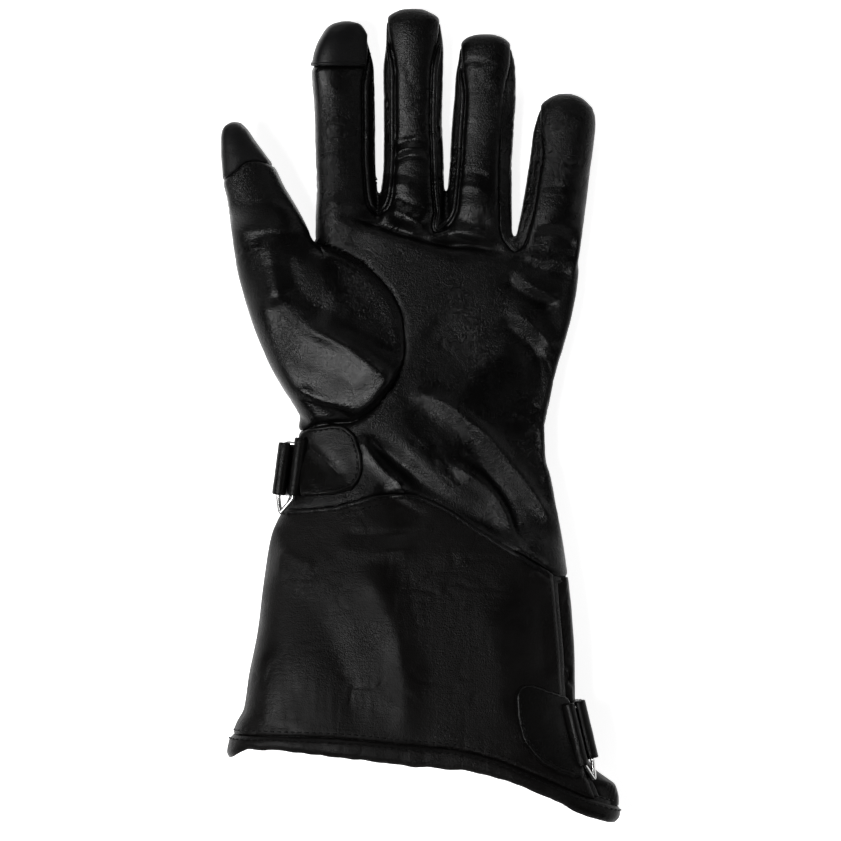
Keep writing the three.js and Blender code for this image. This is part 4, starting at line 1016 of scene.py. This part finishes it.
for n, s in sides.items():
    # a piped ridge runs along each seam of the fourchette
    ridges = [cord(r, 1.15, 0.95, 0.3, taper=7.0) for r in runs_of(s, n, 1.5, keep=lambda r: np.abs(r[:, 5]) > 0.3)]
    panel(n, s, LEATHER, "leather", more=ridges, edge=1.0, dip=0.4, extra=0.15 - 1.15 * smooth(0.3, 0.75, np.abs(s.normals()[:, 2])) - 0.9 * top_of(n, s))
# the turned-in edges of the panels lie over each seam inside
allowance = region(("inside", 1), ("seams", 1), small=0.0005)
v, f = shell(allowance, thick=0.55, edge=0.8, dip=0.2, raise_by=-1.42)
object_of("seam_allowances", v, f, LEATHER, angle=62)
print("allowances", len(f))
tick("panels")

# ---------------------------------------------------------------- the rolled hem
hem_run = hem.v
fold = smooth(0.0, 3.4, hem.data["hem_edge"])
pucker = 0.35 * noise(np.stack([hem.v[:, 0] / 4.6, hem.v[:, 2] / 4.6, hem.v[:, 1] / 9.0], 1) + 4.4)
hem_v, hem_f = shell(hem, thick=3.2, edge=2.8, dip=1.35, raise_by=0.95, extra=pucker * 0.55, round_in=1.6)
o = object_of("cuff_hem_roll", hem_v, hem_f, CUFF_LEATHER, angle=75)
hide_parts("cuff_hem")

# ---------------------------------------------------------------- topstitching
rows = []
for s, lift in ((cuff_palm, 0.15), (cuff_back, 0.0), (cuff_gusset, -0.8)):
    for r in runs_of(s, "hem_top", 1.9, lift):
        rows += stitches(r)
    for level in (1.7,):
        for r in runs_of(s, "cuff", level, lift):
            rows += stitches(r)
for r in runs_of(cuff_palm, "cuff", 3.9, 0.15, keep=lambda r: (r[:, 0] > -36) & (r[:, 0] < -12)):
    rows += stitches(r)
for r in runs_of(hem, "hem_top", -1.9, 1.1):
    rows += stitches(r)
for r in runs_of(cuff_palm, "gusset", -1.8, 0.15):
    rows += stitches(r)
v, f = join(rows)
object_of("cuff_stitching", v, f, THREAD)
seam_ridge = [cord(r, 0.95, 0.55, 0.1) for r in runs_of(cuff_palm, "cuff", 0.75, 0.1)]
v, f = join(seam_ridge)
object_of("cuff_seam_ridge", v, f, LEATHER)
tick("stitches")


# ---------------------------------------------------------------- tabs, straps and rings
def fitting(fit):
    a = math.radians(fit["turn"])
    out, up = np.array([math.cos(a), math.sin(a), 0]), np.array([0, 0, 1.0])
    side = np.cross(out, up)
    at = np.array([fit["x"], fit["y"], 0.0])
    return lambda q: at + q[:, :1] * out + q[:, 1:2] * up + q[:, 2:] * side


def strip(path, width, thick, put, shift=0.0, wobble=0.0, seed=0.0, step=0.7):
    """A strap of leather along a path of (out, up): closed, its edges rounded."""
    c = densify(path, step)
    t = np.gradient(c, axis=0)
    t /= np.linalg.norm(t, axis=1)[:, None]
    n = np.stack([-t[:, 1], t[:, 0]], 1)
    h = thick / 2
    half = width / 2 - h
    prof = [(half + h * math.cos(a), h * math.sin(a)) for a in np.linspace(-math.pi / 2, math.pi / 2, 7)]
    prof += [(q, h) for q in np.linspace(half, -half, 14)[1:-1]]
    prof += [(-half - h * math.cos(a), h * math.sin(a)) for a in np.linspace(math.pi / 2, -math.pi / 2, 7)]
    prof += [(q, -h) for q in np.linspace(-half, half, 14)[1:-1]]
    prof = np.array(prof)
    k, m = len(c), len(prof)
    z = np.tile(prof[:, 0], (k, 1))
    up = np.tile(prof[:, 1], (k, 1))
    if wobble:
        q = np.stack([np.repeat(np.arange(k)[:, None] * step / 5.0, m, 1).ravel() + seed, z.ravel() / 5.0, np.zeros(k * m)], 1)
        w = noise(q).reshape(k, m) * wobble
        up = up + w
        z = z + noise(q[:, [0, 2, 2]] + 9.1).reshape(k, m) * wobble * np.sign(z)
    pts = np.stack([c[:, :1] + n[:, :1] * up, c[:, 1:] + n[:, 1:] * up, z + shift], 2).reshape(-1, 3)
    f = [(i * m + j, (i + 1) * m + j, (i + 1) * m + (j + 1) % m, i * m + (j + 1) % m) for i in range(k - 1) for j in range(m)]
    f += [tuple(range(m)), tuple(range(k * m - 1, (k - 1) * m - 1, -1))]
    return put(pts), f


def outward(v, f):
    """Turns a closed mesh of faces so that it faces out."""
    vol = 0.0
    for q in f:
        for k in range(1, len(q) - 1):
            vol += np.dot(v[q[0]], np.cross(v[q[k]], v[q[k + 1]]))
    return (v, f) if vol > 0 else (v, [tuple(reversed(q)) for q in f])


def strap(fit):
    put = fitting(fit)
    tail = densify(np.array(fit["tail"]), 0.8)
    t = np.gradient(tail, axis=0)
    t /= np.linalg.norm(t, axis=1)[:, None]
    n = np.stack([-t[:, 1], t[:, 0]], 1)
    if n[0, 0] < 0:
        n = -n
    lay = 0.66
    outer, inner = tail + n * lay, tail - n * lay
    c = np.array([fit["apart"], fit["outer"]])
    arc = [c + 2.3 * np.array([math.cos(a), math.sin(a)]) for a in np.radians(np.linspace(-40, 212, 12))]
    inner = inner[: int(len(inner) * 0.45)]
    path = np.vstack([outer[::-1][:-1], arc, inner[2:]])
    path[:, 1] = np.maximum(path[:, 1], 0.75)
    a = outward(*strip(path, fit["wide_out"], 1.26, put, shift=fit["drop"], wobble=0.28, seed=fit["x"]))
    rows = []
    run2 = outer[4:]
    for z in (fit["drop"] - fit["wide_out"] / 2 + 2.0, fit["drop"] + fit["wide_out"] / 2 - 2.0):
        p = put(np.stack([run2[:, 0] + n[4:, 0] * 0.66, run2[:, 1] + n[4:, 1] * 0.66, np.full(len(run2), z)], 1))
        nn = put(np.stack([run2[:, 0] + n[4:, 0] * 1.66, run2[:, 1] + n[4:, 1] * 1.66, np.full(len(run2), z)], 1)) - p
        r = np.hstack([p, nn])
        rows += stitches(r[r[:, 2] > 1.5])
    return a, rows


def ring(fit):
    inner, outer = np.array([0, fit["inner"]]), np.array([fit["apart"], fit["outer"]])
    h = fit["half_bar"]
    v, t, e = h + fit["point"], fit["apex"], h - 3.2
    pts = [(0, 0), (0, h / 2), (0, h), (0.06, h + 1.0), (t - 0.1, v - 0.7), (t, v), (t + 0.08, v - 0.8), (0.97, h + 1.6), (1, h), (1, h / 2), (1, 0), (1, -e / 2), (1, -e), (0.97, -e - 0.35), (0.8, -e - 0.8), (0.2, -e - 0.8), (0.03, -e - 0.35), (0, -e), (0, -e / 2)]
    p = np.array([[*(inner + s * (outer - inner)), z * fit["side"]] for s, z in pts])
    n = len(p)
    dense = []
    for i in range(n):
        a, b, c, d = (p[(i + k) % n] for k in (-1, 0, 1, 2))
        m0, m1 = 0.35 * (c - a), 0.35 * (d - b)
        for q in np.linspace(0, 1, 8, endpoint=False):
            dense.append((2 * q**3 - 3 * q**2 + 1) * b + (q**3 - 2 * q**2 + q) * m0 + (-2 * q**3 + 3 * q**2) * c + (q**3 - q**2) * m1)
    c = fitting(fit)(np.array(dense))
    k = len(c)
    t = np.roll(c, -1, 0) - np.roll(c, 1, 0)
    t /= np.linalg.norm(t, axis=1)[:, None]
    # the ring lies in one plane
    flat = np.linalg.svd(c - c.mean(0))[2][2]
    s = np.cross(t, flat)
    a = np.linspace(0, 2 * np.pi, 14, endpoint=False)
    v = np.stack([c + 1.0 * (math.cos(q) * s + math.sin(q) * flat) for q in a], 1).reshape(-1, 3)
    f = [(i * 14 + j, i * 14 + (j + 1) % 14, ((i + 1) % k) * 14 + (j + 1) % 14, ((i + 1) % k) * 14 + j) for i in range(k) for j in range(14)]
    return outward(v, f)


def tab(node, fit, field, straight, crease=None):
    put = fitting(fit)
    s = region((field, 1))
    s.relax(14, 0.5)
    # a crease runs across it
    if crease is not None:
        dist, t, _ = near(densify(crease, 2.0), s.v[:, 0], s.v[:, 1])
        s.v[:, 2] += 0.25 * np.clip(-left_of(crease, s.v[:, 0], s.v[:, 1]), 0, 9)
        s.v[:, 2] -= 1.1 * np.exp(-((dist / 2.6) ** 2)) * smooth(0, 0.2, t) * smooth(0, 0.2, 1 - t)
    v, f = shell(s, thick=1.9, edge=1.0, dip=1.5, raise_by=2.25)
    binding = [cord(r, 0.7, 0.42, 0.0) for r in runs_of(s, field, 1.75, 2.2, keep=straight)]
    i = fit["inner"]
    rel = [(-4.2, -1.25), (-3.2, -0.9), (-2.3, 0.1), (-1.5, 1.1), (-0.6, 1.72), (0.3, 1.8), (1.3, 1.25), (1.8, 0.0), (1.3, -1.3), (0.0, -1.85), (-1.3, -1.75), (-2.6, -1.9)]
    roll = outward(*strip(np.array([(a, i + b) for a, b in rel]), fit["wide_in"], 1.25, put, shift=fit["shift"], wobble=0.22, seed=fit["y"], step=0.5))
    v, f = join([(v, f), *binding, roll])
    o = object_of(node + "_sheet", v, f, TRIM, angle=70)
    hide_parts(node)
    rows = []
    for r in runs_of(s, field, 3.0, 2.3, keep=straight):
        rows += stitches(r, 1.8, 2.6, 0.24)
    return rows


threads = []
threads += tab("wrist_tab", WRIST_FIT, "wrist_d", lambda r: r[:, 0] > -49.0, line((303, 441), (325, 460), (337, 472), (347, 483)))
threads += tab("cuff_tab", CUFF_FIT, "cuff_d", lambda r: left_of([(59.4, -121.0), (62.0, -135.0), (66.0, -154.0)], r[:, 0], r[:, 1]) < 0)
for node, fit in (("wrist", WRIST_FIT), ("cuff", CUFF_FIT)):
    (v, f), rows = strap(fit)
    threads += rows
    o = object_of(node + "_strap_fold", v, f, TRIM, angle=70)
    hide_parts(node + "_strap")
    v, f = ring(fit)
    o = object_of(node + "_ring_wire", v, f, STEEL)
    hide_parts(node + "_ring")
v, f = join(threads)
object_of("tab_stitching", v, f, THREAD)
tick("fittings")

# ---------------------------------------------------------------- floor, light
floor_mesh = bpy.data.meshes.new("floor")
floor_mesh.from_pydata([(-6, -6, 0), (6, -6, 0), (6, 6, 0), (-6, 6, 0)], [], [(0, 1, 2, 3)])
floor = bpy.data.objects.new("floor", floor_mesh)
bpy.context.scene.collection.objects.link(floor)
fm = bpy.data.materials.new("pale_floor")
fm.use_nodes = True
fm.node_tree.nodes["Principled BSDF"].inputs["Base Color"].default_value = (0.88, 0.88, 0.88, 1)
fm.node_tree.nodes["Principled BSDF"].inputs["Roughness"].default_value = 0.95
fm.node_tree.nodes["Principled BSDF"].inputs["Emission Color"].default_value = (1, 1, 1, 1)
fm.node_tree.nodes["Principled BSDF"].inputs["Emission Strength"].default_value = 0.85
floor_mesh.materials.append(fm)


def softbox(name, at, size, power, aim=(0, 0, 0.02)):
    d = bpy.data.lights.new(name, "AREA")
    d.shape = "RECTANGLE"
    d.size, d.size_y = size
    d.energy = power
    o = bpy.data.objects.new(name, d)
    o.location = at
    o.rotation_euler = (Vector(aim) - Vector(at)).to_track_quat("-Z", "Y").to_euler()
    bpy.context.scene.collection.objects.link(o)
    return o


softbox("key", (-0.76, -0.22, 1.40), (0.42, 0.85), 26)
softbox("top", (-0.2, 1.7, 0.9), (1.4, 0.5), 7)
softbox("right", (1.8, 0.1, 0.85), (0.5, 1.4), 5)
softbox("low", (0.2, -1.8, 0.85), (1.4, 0.5), 4)
world = bpy.data.worlds.new("studio")
bpy.context.scene.world = world
world.use_nodes = True
world.node_tree.nodes["Background"].inputs["Color"].default_value = (1, 1, 1, 1)
world.node_tree.nodes["Background"].inputs["Strength"].default_value = 0.015
bpy.context.scene.view_settings.view_transform = "Standard"
